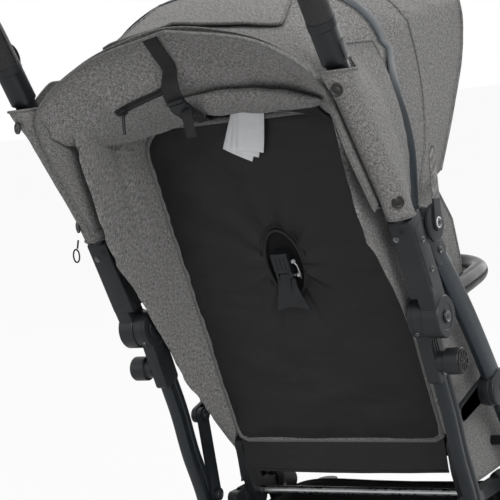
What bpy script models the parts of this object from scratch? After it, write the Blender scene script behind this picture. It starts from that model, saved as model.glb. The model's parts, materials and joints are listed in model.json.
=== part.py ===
"""Compact folding pushchair, built as an assembly of closed sub-parts.

Metres. X is the width, Y points to the front, Z is up. The origin is on the
floor under the middle of the bounding box. Side-view positions are given as
(y, z) measured from the main side joint, which sits at (PIVOT_Y, PIVOT_Z).
"""
import bpy
import bmesh
from math import atan2, cos, pi, radians, sin, sqrt
from mathutils import Matrix, Vector

# Main sizes
PIVOT_Y = -0.08225
PIVOT_Z = 0.5350
GAP = 0.0003

# side planes (distance from the middle plane)
HUB_IN = 0.1935
HUB_OUT = 0.2135
RING_OUT = 0.2365
LEG_X = 0.2050
LEG_W = 0.0140
LEG_D = 0.0260
TUBE_X = 0.2207
PUSH_R = 0.0135
FRONT_X = 0.2165
FRONT_W = 0.0160
FRONT_D = 0.0320

# side-view pivots, from the main joint
H = (-0.0080, 0.1170)
R = (0.0940, -0.2590)
B = (R[0] + H[0], R[1] + H[1])
HUB_R = 0.0250
RING_R = 0.0265
CAP_R = 0.0290
BOSS = (0.0150, -0.0590)
BUMPER = (0.0900, 0.0050)
ROD = (0.1620, -0.2710)
SEAT_BAR = (0.2220, -0.2127)

# wheels
REAR_R = 0.0700
FRONT_R = 0.0650
REAR_AXLE = (0.0050, REAR_R - PIVOT_Z)
SWIVEL_Y = 0.4450
TRAIL = 0.0300
FRONT_AXLE = (SWIVEL_Y - TRAIL, FRONT_R - PIVOT_Z)
REAR_WHEEL_X = 0.2290
REAR_WHEEL_W = 0.0280
FRONT_WHEEL_X = 0.2080
FRONT_WHEEL_W = 0.0260

# seat
SEAT_HINGE = (0.1340, -0.1950)
LEG_HINGE = (0.3780, -0.1950)
PAN_BACK = (0.1300, -0.2050)
PAN_T = 0.0060
PAN_U = (cos(radians(3.57)), sin(radians(3.57)))
SEAT_LEN = 0.2400
BACK_SLOPE = -0.33
BACK_LEN = 0.5000
BACK_HALF = 0.1580
LEVER_UP = 0.2700

SIDES = (("right", 1.0), ("left", -1.0))


# Helpers
def clear():
    for ob in list(bpy.data.objects):
        bpy.data.objects.remove(ob, do_unlink=True)


def at(x, y, z):
    """Point from the main joint to the shared frame."""
    return Vector((x, y + PIVOT_Y, z + PIVOT_Z))


def material(name, colour, rough=0.5, metal=0.0):
    mat = bpy.data.materials.new(name)
    mat.use_nodes = True
    shader = mat.node_tree.nodes["Principled BSDF"]
    shader.inputs["Base Color"].default_value = (*colour, 1.0)
    shader.inputs["Roughness"].default_value = rough
    shader.inputs["Metallic"].default_value = metal
    return mat


def from_bmesh(name, bm, mat=None, smooth=None):
    bmesh.ops.recalc_face_normals(bm, faces=bm.faces)
    mesh = bpy.data.meshes.new(name)
    bm.to_mesh(mesh)
    bm.free()
    ob = bpy.data.objects.new(name, mesh)
    bpy.context.scene.collection.objects.link(ob)
    if mat:
        mesh.materials.append(mat)
    if smooth:
        shade(ob, smooth)
    return ob


def shade(ob, degrees):
    bm = bmesh.new()
    bm.from_mesh(ob.data)
    limit = radians(degrees)
    for face in bm.faces:
        face.smooth = True
    for edge in bm.edges:
        if len(edge.link_faces) == 2:
            edge.smooth = edge.calc_face_angle(0.0) < limit
    bm.to_mesh(ob.data)
    bm.free()


def hull_outline(circles, steps):
    """Counter-clockwise convex outline round circles given as (y, z, r)."""
    points = []
    for cy, cz, r in circles:
        for i in range(steps):
            a = 2 * pi * i / steps
            points.append((cy + r * cos(a), cz + r * sin(a)))
    points.sort()

    def half(seq):
        out = []
        for p in seq:
            while len(out) > 1:
                ax, ay = out[-1][0] - out[-2][0], out[-1][1] - out[-2][1]
                bx, by = p[0] - out[-2][0], p[1] - out[-2][1]
                if ax * by - ay * bx > 1e-12:
                    break
                out.pop()
            out.append(p)
        return out[:-1]

    return half(points) + half(points[::-1])


def prism(name, x0, x1, outline, mat=None, bevel=0.0, segments=1):
    """Outline of (y, z) points extruded from x0 to x1."""
    bm = bmesh.new()
    verts = [bm.verts.new(at(x0, y, z)) for y, z in outline]
    face = bm.faces.new(verts)
    out = bmesh.ops.extrude_face_region(bm, geom=[face])
    moved = [g for g in out["geom"] if isinstance(g, bmesh.types.BMVert)]
    bmesh.ops.translate(bm, verts=moved, vec=Vector((x1 - x0, 0.0, 0.0)))
    if bevel > 0.0:
        edges = []
        for edge in bm.edges:
            a, b = edge.verts
            if abs(a.co.x - b.co.x) < 1e-7:
                edges.append(edge)
        bmesh.ops.bevel(bm, geom=edges, offset=bevel, segments=segments,
                        affect='EDGES', profile=0.5, clamp_overlap=True)
    return from_bmesh(name, bm, mat, 40)


def plate(name, side, x0, x1, circles, mat=None, bevel=0.0, steps=14):
    a, b = sorted((side * x0, side * x1))
    return prism(name, a, b, hull_outline(circles, steps), mat, bevel)


def cyl(name, side, x0, x1, centre, r, mat=None, steps=18, bevel=0.0):
    return plate(name, side, x0, x1, [(centre[0], centre[1], r)], mat, bevel, steps)


def lathe(name, profile, centre, mat=None, steps=32, side=1.0):
    """Closed profile of (x, r) points turned round the X axis at centre."""
    bm = bmesh.new()
    rings = []
    for i in range(steps):
        a = 2 * pi * i / steps
        ring = []
        for x, r in profile:
            ring.append(bm.verts.new(at(side * x, centre[0] + r * cos(a), centre[1] + r * sin(a))))
        rings.append(ring)
    n = len(profile)
    for i in range(steps):
        here, there = rings[i], rings[(i + 1) % steps]
        for k in range(n):
            m = (k + 1) % n
            bm.faces.new((here[k], here[m], there[m], there[k]))
    bmesh.ops.remove_doubles(bm, verts=bm.verts, dist=1e-7)
    bmesh.ops.dissolve_degenerate(bm, edges=bm.edges, dist=1e-7)
    return from_bmesh(name, bm, mat, 35)


def smooth_path(points, per):
    """Catmull-Rom points through the given ones."""
    pts = [Vector(p) for p in points]
    ext = [pts[0] * 2 - pts[1]] + pts + [pts[-1] * 2 - pts[-2]]
    out = []
    for i in range(1, len(ext) - 2):
        p0, p1, p2, p3 = ext[i - 1], ext[i], ext[i + 1], ext[i + 2]
        for k in range(per):
            t = k / per
            out.append(0.5 * ((2 * p1) + (p2 - p0) * t + (2 * p0 - 5 * p1 + 4 * p2 - p3) * t * t
                              + (3 * p1 - p0 - 3 * p2 + p3) * t * t * t))
    out.append(pts[-1])
    return out


def sweep(name, points, wide, deep, mat=None, steps=12, per=1, power=2.0, up=None):
    """Closed bar with an oval section: wide across `up`, deep the other way."""
    path = smooth_path(points, per)
    bm = bmesh.new()
    rings = []
    ref = Vector(up) if up else Vector((1.0, 0.0, 0.0))
    for i, p in enumerate(path):
        a = path[max(i - 1, 0)]
        b = path[min(i + 1, len(path) - 1)]
        t = (b - a).normalized()
        side = (ref - t * ref.dot(t)).normalized()
        other = t.cross(side)
        ref = side if up is None else ref
        ring = []
        for k in range(steps):
            ang = 2 * pi * k / steps
            c, s = cos(ang), sin(ang)
            cu = abs(c) ** (2.0 / power) * (1 if c >= 0 else -1)
            su = abs(s) ** (2.0 / power) * (1 if s >= 0 else -1)
            ring.append(bm.verts.new(p + side * (cu * wide / 2) + other * (su * deep / 2)))
        rings.append(ring)
    for i in range(len(rings) - 1):
        for k in range(steps):
            m = (k + 1) % steps
            bm.faces.new((rings[i][k], rings[i][m], rings[i + 1][m], rings[i + 1][k]))
    bm.faces.new(rings[0])
    bm.faces.new(rings[-1])
    return from_bmesh(name, bm, mat, 50)


def box(name, lo, hi, mat=None, bevel=0.0, segments=1):
    bm = bmesh.new()
    bmesh.ops.create_cube(bm, size=1.0)
    size = [hi[i] - lo[i] for i in range(3)]
    mid = [(hi[i] + lo[i]) / 2 for i in range(3)]
    bmesh.ops.scale(bm, vec=size, verts=bm.verts)
    bmesh.ops.translate(bm, vec=at(*mid), verts=bm.verts)
    if bevel > 0.0:
        bmesh.ops.bevel(bm, geom=list(bm.edges), offset=bevel, segments=segments,
                        affect='EDGES', profile=0.5, clamp_overlap=True)
    return from_bmesh(name, bm, mat, 40)


def combine(target, tools, operation):
    """Boolean the tools into the target and drop them."""
    for tool in tools:
        mod = target.modifiers.new(operation.lower(), 'BOOLEAN')
        mod.operation = operation
        mod.solver = 'EXACT'
        mod.object = tool
        depsgraph = bpy.context.evaluated_depsgraph_get()
        mesh = bpy.data.meshes.new_from_object(target.evaluated_get(depsgraph))
        target.modifiers.clear()
        old = target.data
        target.data = mesh
        mesh.name = target.name
        bpy.data.meshes.remove(old)
        bpy.data.objects.remove(tool, do_unlink=True)
    bm = bmesh.new()
    bm.from_mesh(target.data)
    bmesh.ops.remove_doubles(bm, verts=bm.verts, dist=2e-6)
    bmesh.ops.dissolve_degenerate(bm, edges=bm.edges, dist=2e-6)
    bm.to_mesh(target.data)
    bm.free()
    shade(target, 40)
    return target


def join(target, *tools):
    return combine(target, tools, 'UNION')


def cut(target, *tools):
    return combine(target, tools, 'DIFFERENCE')


def unit(a, b):
    d = (b[0] - a[0], b[1] - a[1])
    n = sqrt(d[0] * d[0] + d[1] * d[1])
    return (d[0] / n, d[1] / n)


def along(a, b, s):
    return (a[0] + (b[0] - a[0]) * s, a[1] + (b[1] - a[1]) * s)


# Section paths
LEG_PATH = ((0.020, -0.050), (0.032, -0.085), (0.047, -0.130), (0.061, -0.190), (0.080, -0.245),
            (0.089, -0.290), (0.085, -0.335), (0.066, -0.385), (0.038, -0.428), (0.018, -0.452))
PUSH_PATH = ((-0.0465, 0.106), (-0.075, 0.160), (-0.115, 0.222), (-0.150, 0.275), (-0.180, 0.325),
             (-0.196, 0.355), (-0.210, 0.384))
GRIP_PATH = ((0.2207, -0.201, 0.365), (0.2207, -0.222, 0.405), (0.2195, -0.243, 0.440),
             (0.208, -0.262, 0.468), (0.180, -0.275, 0.486), (0.120, -0.282, 0.495), (0.045, -0.284, 0.498))
FRONT_PATH = ((0.028, 0.080), (0.052, 0.050), (0.077, 0.018), (0.103, -0.017), (0.133, -0.063),
              (0.163, -0.112), (0.192, -0.160), (0.225, -0.213), (0.258, -0.260))
LOW_PATH = ((0.272, -0.285), (0.305, -0.318), (0.350, -0.344), (0.400, -0.356), (0.440, -0.358))


def flat(side, x, pairs):
    return [at(side * x, y, z) for y, z in pairs]


def socket_cutter(side, x, pairs, wide, deep, steps):
    """Cutter for a bar's seat, a hair larger and longer than the bar."""
    pts = flat(side, x, pairs)
    first = pts[0] + (pts[0] - pts[1]).normalized() * 2 * GAP
    last = pts[-1] + (pts[-1] - pts[-2]).normalized() * 2 * GAP
    return sweep("socket", [first] + pts[1:-1] + [last], wide + 2 * GAP, deep + 2 * GAP, steps=steps)


def push_cutter(side):
    return socket_cutter(side, TUBE_X, PUSH_PATH, 2 * PUSH_R, 2 * PUSH_R, 16)


def front_cutter(side):
    return socket_cutter(side, FRONT_X, FRONT_PATH, FRONT_W, FRONT_D, 14)


def grip_points():
    right = [at(x, y, z) for x, y, z in GRIP_PATH]
    left = [Vector((-p.x, p.y, p.z)) for p in reversed(right)]
    return right + left


def post(name, x, y, z0, z1, r, mat=None, steps=20):
    """Round post along Z."""
    bm = bmesh.new()
    bmesh.ops.create_cone(bm, cap_ends=True, segments=steps, radius1=r, radius2=r, depth=z1 - z0)
    bmesh.ops.translate(bm, vec=at(x, y, (z0 + z1) / 2), verts=bm.verts)
    return from_bmesh(name, bm, mat, 40)


def rod_y(name, x, z, y0, y1, r, mat=None, steps=20):
    """Round post along Y."""
    bm = bmesh.new()
    bmesh.ops.create_cone(bm, cap_ends=True, segments=steps, radius1=r, radius2=r, depth=y1 - y0)
    bmesh.ops.rotate(bm, matrix=Matrix.Rotation(pi / 2, 3, 'X'), verts=bm.verts)
    bmesh.ops.translate(bm, vec=at(x, (y0 + y1) / 2, z), verts=bm.verts)
    return from_bmesh(name, bm, mat, 40)


# Chassis
def build_chassis(mat):
    for tag, s in SIDES:
        hub = cyl("pivot_hub_" + tag, s, HUB_IN, HUB_OUT, (0, 0), HUB_R, mat["frame_black"], 28)
        arm = plate("arm", s, 0.1960, 0.2132, [(0, 0, 0.0170), (0.0270, -0.0700, 0.0165)])
        shaft = cyl("shaft", s, HUB_OUT - 0.003, 0.2390, (0, 0), 0.0060)
        head = cyl("head", s, 0.2370, 0.2400, (0, 0), 0.0085)
        boss = lathe("boss", [(0.2110, 0.0), (0.2110, 0.0130), (0.2230, 0.0130), (0.2240, 0.0165), (0.2435, 0.0165),
                              (0.2447, 0.0153), (0.2447, 0.0)], BOSS, None, 28, s)
        join(hub, arm, shaft, head, boss)
        cut(hub, socket_cutter(s, LEG_X, LEG_PATH, LEG_W, LEG_D, 12))

        leg = sweep("rear_leg_" + tag, flat(s, LEG_X, LEG_PATH), LEG_W, LEG_D, mat["frame_grey"])
        foot = plate("foot", s, 0.1965, 0.2125, [(0.044, -0.419, 0.0110), (*REAR_AXLE, 0.0175)])
        lug = plate("lug", s, 0.1985, 0.2115, [(*R, 0.0120), (0.080, -0.255, 0.0100)])
        pin = cyl("pin", s, 0.1870, 0.2000, R, 0.0040, steps=16)
        head = cyl("head", s, 0.1865, 0.1897, R, 0.0090, steps=20)
        join(leg, foot, lug, pin, head)
        cut(leg, cyl("bore", s, 0.190, 0.220, REAR_AXLE, 0.0063, steps=20))

        build_wheel("rear", tag, s * REAR_WHEEL_X, REAR_AXLE, REAR_R, REAR_WHEEL_W, 0.0064, mat)

    half = [(0.1962, 0.0110), (0.1962, 0.0060), (0.2446, 0.0060), (0.2446, 0.0090), (0.2475, 0.0080), (0.2475, 0.0)]
    profile = [(-x, r) for x, r in reversed(half)] + half
    lathe("rear_axle_tube", profile, REAR_AXLE, mat["steel"], 16)

    ay, az = REAR_AXLE
    pedal = cyl("brake_pedal", 1, -0.032, 0.032, REAR_AXLE, 0.0160, mat["pedal_grey"], 24)
    tread = plate("tread", 1, -0.028, 0.028, [(ay - 0.012, az + 0.006, 0.0050), (ay - 0.058, az + 0.020, 0.0045)])
    join(pedal, tread)
    cut(pedal, cyl("bore", 1, -0.04, 0.04, REAR_AXLE, 0.0113, steps=20))


def build_wheel(name, tag, x, axle, radius, width, bore, mat):
    w = width / 2
    rim = radius - 0.0220
    steps = 24
    lathe(name + "_tyre_" + tag,
          [(x - w + 0.0015, rim + GAP), (x - w, rim + 0.010), (x - w + 0.003, radius - 0.003),
           (x, radius), (x + w - 0.003, radius - 0.003), (x + w, rim + 0.010), (x + w - 0.0015, rim + GAP)],
          axle, mat["tyre"], steps)
    b = w + 0.0015
    hub = lathe(name + "_wheel_hub_" + tag,
                [(x - b, bore), (x - b, 0.0125), (x - 0.003, 0.0140), (x - 0.003, rim - 0.006),
                 (x - w + 0.002, rim), (x + w - 0.002, rim), (x + 0.003, rim - 0.006), (x + 0.003, 0.0140),
                 (x + b, 0.0125), (x + b, bore)],
                axle, mat["hub_grey"], steps)
    holes = []
    for k in range(5):
        a = 2 * pi * (k + 0.5) / 5
        r = 0.013 + (rim - 0.019) / 2 + 0.0005
        centre = (axle[0] + r * cos(a), axle[1] + r * sin(a))
        holes.append(cyl("hole", 1, x - 0.01, x + 0.01, centre, (rim - 0.024) / 2, steps=8))
    cut(hub, *holes)


# Push bar
def build_push_bar(mat):
    for tag, s in SIDES:
        casing = cyl("push_casing_" + tag, s, 0.2138, RING_OUT, (0, 0), RING_R, mat["frame_black"], 28)
        neck = plate("neck", s, 0.2140, 0.2350, [(0, 0, 0.0170), (-0.0200, 0.0450, 0.0155)])
        body = plate("body", s, 0.2055, 0.2360, [(-0.0195, 0.0440, 0.0155), (-0.0520, 0.1210, 0.0168)])
        lug = plate("lug", s, 0.2250, 0.2345, [(-0.0450, 0.1080, 0.0140), (*H, 0.0190)])
        join(casing, neck, body, lug)
        cut(casing, cyl("bore", s, 0.20, 0.25, (0, 0), 0.0063, steps=20),
            cyl("bore", s, 0.20, 0.25, H, 0.0056, steps=20), push_cutter(s))

        tube = sweep("push_tube_" + tag, flat(s, TUBE_X, PUSH_PATH), 2 * PUSH_R, 2 * PUSH_R,
                     mat["tube_black"], steps=16)
        collar = sweep("collar", flat(s, TUBE_X, ((-0.1800, 0.3250), (-0.1900, 0.3437), (-0.2002, 0.3635))),
                       0.0310, 0.0310, steps=16)
        join(tube, collar)

        lathe("hinge_cap_" + tag,
              [(0.1913, 0.0), (0.1913, 0.0070), (0.1923, 0.0080), (0.1944, 0.0080), (0.1944, 0.0053),
               (0.2363, 0.0053), (0.2363, CAP_R), (0.2402, CAP_R), (0.2415, CAP_R - 0.0020), (0.2415, 0.0)],
              H, mat["frame_black"], 24, s)

        sleeve = sweep("side_sleeve_" + tag,
                       flat(s, TUBE_X, ((-0.0680, 0.1470), (-0.1100, 0.2145), (-0.1450, 0.2675), (-0.1740, 0.3150))),
                       0.0300, 0.0330, mat["fabric_grey"], steps=16)
        cut(sleeve, push_cutter(s))

    grip = sweep("handle_grip", grip_points(), 0.0330, 0.0330, mat["grip"], steps=14, per=2)
    cut(grip, push_cutter(1), push_cutter(-1))

    housing = box("handle_housing", (-0.046, -0.312, 0.4765), (0.046, -0.2620, 0.5195), mat["frame_black"], 0.006, 2)
    bar = sweep("bar", grip_points(), 0.0336, 0.0336, steps=14, per=2)
    pocket = box("pocket", (-0.0145, -0.330, 0.4905), (0.0145, -0.3060, 0.5055))
    cut(housing, bar, pocket)
    box("fold_button", (-0.0142, -0.3155, 0.4908), (0.0142, -0.3090, 0.5052), mat["hub_grey"], 0.0012)


# Front frame
def build_front_frame(mat):
    for tag, s in SIDES:
        tube = sweep("front_tube_" + tag, flat(s, FRONT_X, FRONT_PATH), FRONT_W, FRONT_D, mat["frame_blue"], steps=14)
        eye = plate("eye", s, 0.2087, 0.2243, [(*H, 0.0220), (0.0300, 0.0770, 0.0165)])
        mount = cyl("mount", s, 0.2045, 0.2095, BUMPER, 0.0140)
        pin = cyl("pin", s, 0.1780, 0.2060, BUMPER, 0.0050, steps=16)
        join(tube, eye, mount, pin)
        cut(tube, cyl("bore", s, 0.20, 0.25, H, 0.0056, steps=20))

        clamp = plate("link_bracket_" + tag, s, 0.2050, 0.2280,
                      [(0.1700, -0.1235, 0.0215), (0.1560, -0.1275, 0.0200)], mat["frame_black"])
        lug = plate("lug", s, 0.1985, 0.2060, [(*B, 0.0105), (0.1560, -0.1275, 0.0130)])
        pin = cyl("pin", s, 0.1870, 0.2000, B, 0.0040, steps=16)
        head = cyl("head", s, 0.1865, 0.1897, B, 0.0085, steps=20)
        join(clamp, lug, pin, head)
        cut(clamp, front_cutter(s))

        leg = plate("front_leg_" + tag, s, 0.2040, 0.2290,
                    [(0.2380, -0.2340, 0.0190), (0.2740, -0.2880, 0.0220)], mat["frame_black"])
        rail = plate("rail", s, 0.1700, 0.1850, [(0.1180, -0.2710, 0.0090), (0.2620, -0.2760, 0.0090)])
        bridge = plate("bridge", s, 0.1710, 0.2060, [(0.2590, -0.2740, 0.0110), (0.2760, -0.2880, 0.0120)])
        low = sweep("low", flat(s, FRONT_X, LOW_PATH), FRONT_W, 0.0300, steps=14)
        barrel = post("barrel", s * FRONT_WHEEL_X, SWIVEL_Y, -0.3850, -0.3350, 0.0165, steps=24)
        join(leg, rail, bridge, low, barrel)
        cut(leg, front_cutter(s),
            post("bore", s * FRONT_WHEEL_X, SWIVEL_Y, -0.40, -0.3480, 0.0063))

        x = s * FRONT_WHEEL_X
        fork = box("front_fork_" + tag, (x - 0.0205, 0.4000, -0.4005), (x + 0.0205, 0.4600, -0.3868),
                   mat["frame_black"], 0.003)
        stem = post("stem", x, SWIVEL_Y, -0.3900, -0.3500, 0.0060)
        parts = [stem]
        for k in (-1, 1):
            inner, outer = sorted((x + k * 0.0160, x + k * 0.0203))
            parts.append(plate("cheek", 1, inner, outer, [(0.4280, -0.3950, 0.0070), (*FRONT_AXLE, 0.0100)],
                               steps=16))
        parts.append(cyl("axle", 1, x - 0.0180, x + 0.0180, FRONT_AXLE, 0.0042, steps=16))
        join(fork, *parts)
        build_wheel("front", tag, x, FRONT_AXLE, FRONT_R, FRONT_WHEEL_W, 0.0045, mat)

        link = plate("link_bar_" + tag, s, 0.1905, 0.1970, [(*R, 0.0105), (*B, 0.0105)], mat["frame_grey"])
        cut(link, cyl("bore", s, 0.18, 0.21, R, 0.0044, steps=16),
            cyl("bore", s, 0.18, 0.21, B, 0.0044, steps=16))

        hinge = plate("seat_bracket_" + tag, s, 0.1580, 0.1697,
                      [(*SEAT_HINGE, 0.0110), (0.1420, -0.2300, 0.0150), (0.1600, -0.2780, 0.0150)],
                      mat["frame_black"])
        cut(hinge, cyl("bore", s, 0.15, 0.18, SEAT_HINGE, 0.0043, steps=16),
            cyl("bore", s, 0.15, 0.18, ROD, 0.0063, steps=16))

        wing = [(0.112, -0.2615), (0.250, -0.2665), (0.330, -0.200), (0.330, -0.110), (0.240, -0.060), (0.160, 0.020),
                (0.105, 0.090), (0.050, 0.140), (-0.030, 0.170), (-0.015, 0.080), (0.030, -0.010), (0.075, -0.120)]
        a, b = sorted((s * 0.1722, s * 0.1740))
        panel = prism("side_wing_" + tag, a, b, wing, mat["fabric_grey"])
        cut(panel, cyl("hole", 1, a - 0.01, b + 0.01, SEAT_BAR, 0.0073, steps=16))

    cyl("lateral_rod", 1, -0.1697, 0.1697, ROD, 0.0060, mat["steel"], 16)
    cyl("seat_bar", 1, -0.2084, 0.2084, SEAT_BAR, 0.0070, mat["tube_black"], 16)
    cyl("footrest_bar", 1, -0.2084, 0.2084, (0.3500, -0.3440), 0.0090, mat["tube_black"], 16)


def build_bumper(mat):
    right = [at(0.1890, 0.0740, 0.0030), at(0.1890, 0.1200, 0.0090), at(0.1880, 0.1900, 0.0150),
             at(0.1780, 0.2480, 0.0190), at(0.1450, 0.2880, 0.0220), at(0.0900, 0.3060, 0.0240),
             at(0.0300, 0.3120, 0.0250)]
    left = [Vector((-p.x, p.y, p.z)) for p in reversed(right)]
    bar = sweep("bumper_bar", right + left, 0.0270, 0.0270, mat["grip"], steps=12)
    cut(bar, cyl("bore", 1, 0.15, 0.22, BUMPER, 0.0053, steps=16),
        cyl("bore", -1, 0.15, 0.22, BUMPER, 0.0053, steps=16))


# Seat
BACK_N = sqrt(1 + BACK_SLOPE * BACK_SLOPE)
BACK_U = (BACK_SLOPE / BACK_N, 1 / BACK_N)
BACK_F = (1 / BACK_N, -BACK_SLOPE / BACK_N)


def back_point(u, n):
    """Side-view point u up the backrest and n in front of its hinge plane."""
    return (SEAT_HINGE[0] + BACK_U[0] * u + BACK_F[0] * n, SEAT_HINGE[1] + BACK_U[1] * u + BACK_F[1] * n)


def slab(name, half, u0, u1, n0, n1, mat=None, bevel=0.0, segments=1):
    outline = [back_point(u0, n0), back_point(u1, n0), back_point(u1, n1), back_point(u0, n1)]
    return prism(name, -half, half, outline[::-1], mat, bevel, segments)


def seat_point(u, n):
    """Side-view point u forward along the seat pan's top and n above it."""
    return (PAN_BACK[0] + PAN_U[0] * u - PAN_U[1] * n, PAN_BACK[1] + PAN_U[1] * u + PAN_U[0] * n)


def cushion(name, half, place, u0, u1, n0, edge, crown, mat, columns=8, rows=8):
    """Pad with a flat underside, drawn-in sides and a crowned top, laid out by place(u, n)."""
    bm = bmesh.new()
    layers = ([], [])
    for i in range(columns + 1):
        s = 2.0 * i / columns - 1.0
        lower, upper = [], []
        for j in range(rows + 1):
            t = 2.0 * j / rows - 1.0
            x = half * s * (1.0 - 0.035 * t ** 4)
            u = (u0 + u1) / 2 + (u1 - u0) / 2 * t * (1.0 - 0.025 * s ** 4)
            top = n0 + edge + crown * (1.0 - s ** 4) * (1.0 - t ** 4)
            lower.append(bm.verts.new(at(x, *place(u, n0))))
            upper.append(bm.verts.new(at(x, *place(u, top))))
        layers[0].append(lower)
        layers[1].append(upper)
    for grid in layers:
        for i in range(columns):
            for j in range(rows):
                bm.faces.new((grid[i][j], grid[i + 1][j], grid[i + 1][j + 1], grid[i][j + 1]))
    low, high = layers
    rim = [(i, 0) for i in range(columns)] + [(columns, j) for j in range(rows)]
    rim += [(i, rows) for i in range(columns, 0, -1)] + [(0, j) for j in range(rows, 0, -1)]
    for k, (i, j) in enumerate(rim):
        p, q = rim[(k + 1) % len(rim)]
        bm.faces.new((low[i][j], low[p][q], high[p][q], high[i][j]))
    ob = from_bmesh(name, bm, mat, 40)
    mod = ob.modifiers.new("edge", 'BEVEL')
    mod.width = 0.004
    mod.segments = 1
    mod.limit_method = 'ANGLE'
    mod.angle_limit = radians(50)
    return ob


def build_seat(mat):
    pan = prism("seat_pan", -0.1577, 0.1577,
                [seat_point(0, -PAN_T), seat_point(SEAT_LEN, -PAN_T), seat_point(SEAT_LEN, 0), seat_point(0, 0)],
                mat["board"])
    for k in (-1, 1):
        ear = plate("ear", k, 0.1440, 0.1500, [(0.3640, -0.1932, 0.0030), (*LEG_HINGE, 0.0070)])
        join(pan, ear)
    cut(pan, cyl("bore", 1, 0.13, 0.16, LEG_HINGE, 0.0033, steps=16),
        cyl("bore", -1, 0.13, 0.16, LEG_HINGE, 0.0033, steps=16))
    cushion("seat_pad", 0.1540, seat_point, 0.0200, SEAT_LEN, GAP, 0.0215, 0.0095, mat["fabric_grey"])

    board = slab("back_board", BACK_HALF - 0.0020, 0.0080, BACK_LEN, -0.0065, -0.0005, mat["board"])
    barrel = cyl("barrel", 1, -0.1560, 0.1560, SEAT_HINGE, 0.0060, steps=16)
    web = slab("web", 0.1500, 0.0, 0.0120, -0.0050, -0.0010)
    pins = cyl("pins", 1, -0.1690, 0.1690, SEAT_HINGE, 0.0040, steps=16)
    join(board, barrel, web, pins)
    cushion("back_pad", 0.1500, back_point, 0.0260, BACK_LEN - 0.0060, 0.0, 0.0120, 0.0080, mat["fabric_grey"])
    cover = slab("back_cover", BACK_HALF, 0.0100, BACK_LEN - 0.004, -0.0095, -0.0070, mat["nylon_black"])
    hole = []
    for i in range(24):
        a = 2 * pi * i / 24
        hole.append((0.0270 * cos(a), LEVER_UP + 0.015 + 0.0480 * sin(a)))
    bm = bmesh.new()
    rings = []
    for n in (-0.02, 0.0):
        rings.append([bm.verts.new(at(x, *back_point(u, n))) for x, u in hole])
    bm.faces.new(rings[0])
    bm.faces.new(rings[1])
    for i in range(24):
        m = (i + 1) % 24
        bm.faces.new((rings[0][i], rings[0][m], rings[1][m], rings[1][i]))
    cut(cover, from_bmesh("hole", bm))

    housing = slab("recline_housing", 0.0120, LEVER_UP + 0.0062, LEVER_UP + 0.034, -0.0220, -0.0068,
                   mat["frame_black"], 0.0015)
    pivot = back_point(LEVER_UP, -0.0150)
    for k in (-1, 1):
        a, b = sorted((k * 0.0080, k * 0.0120))
        ear = plate("ear", 1, a, b, [(*pivot, 0.0060), (*back_point(LEVER_UP + 0.008, -0.0150), 0.0060)])
        join(housing, ear)
    join(housing, cyl("pin", 1, -0.0100, 0.0100, pivot, 0.0022, steps=12))
    lever = plate("recline_lever", 1, -0.0075, 0.0075, [(*pivot, 0.0055), (*back_point(LEVER_UP - 0.014, -0.0170), 0.0050)],
                  mat["frame_black"])
    paddle = plate("paddle", 1, -0.0210, 0.0210, [(*back_point(LEVER_UP - 0.014, -0.0180), 0.0045),
                                                 (*back_point(LEVER_UP - 0.032, -0.0260), 0.0040)])
    join(lever, paddle)
    cut(lever, cyl("bore", 1, -0.02, 0.02, pivot, 0.0025, steps=12))

    g = (cos(radians(-58)), sin(radians(-58)))
    n = (-g[1], g[0])
    rest = prism("leg_rest", -0.1380, 0.1380,
                 [(LEG_HINGE[0] + g[0] * a + n[0] * b, LEG_HINGE[1] + g[1] * a + n[1] * b)
                  for a, b in ((0.006, -0.005), (0.112, -0.005), (0.112, 0.006), (0.006, 0.006))],
                 mat["fabric_grey"], 0.003, 1)
    join(rest, cyl("barrel", 1, -0.1400, 0.1400, LEG_HINGE, 0.0060, steps=16),
         plate("web", 1, -0.1300, 0.1300, [(*LEG_HINGE, 0.0035), (LEG_HINGE[0] + g[0] * 0.012,
                                                                 LEG_HINGE[1] + g[1] * 0.012, 0.0035)]),
         cyl("pins", 1, -0.1500, 0.1500, LEG_HINGE, 0.0030, steps=12))

    strap = box("strap", (-0.013, 0.2475, -0.1655), (0.013, 0.2525, -0.1320))
    buckle = box("buckle", (-0.020, 0.2400, -0.1350), (0.020, 0.2600, -0.0980), mat["frame_black"], 0.004, 2)
    join(buckle, strap)
    cut(buckle, rod_y("pocket", 0.0, -0.1165, 0.2535, 0.27, 0.0103))
    rod_y("buckle_button", 0.0, -0.1165, 0.2568, 0.2620, 0.0100, mat["hub_grey"])

    outer = basket_box("basket", 0.0, mat["fabric_grey"])
    inner = basket_box("inner", 0.0020)
    cut(outer, inner)


def basket_box(name, inset, mat=None):
    bm = bmesh.new()
    top = -0.3004 + (0.02 if inset else 0.0)
    low = -0.3950 + inset
    k = 1.0 if not inset else 1.19
    rows = []
    for z, half, y0, y1 in ((low, 0.155 - inset, 0.118 + inset, 0.300 - inset),
                            (top, 0.155 - inset + 0.029 * k, 0.118 + inset - 0.018 * k, 0.300 - inset + 0.030 * k)):
        rows.append([bm.verts.new(at(x, y, z)) for x, y in ((-half, y0), (half, y0), (half, y1), (-half, y1))])
    bm.faces.new(rows[0])
    bm.faces.new(rows[1])
    for i in range(4):
        m = (i + 1) % 4
        bm.faces.new((rows[0][i], rows[0][m], rows[1][m], rows[1][i]))
    return from_bmesh(name, bm, mat)


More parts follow.
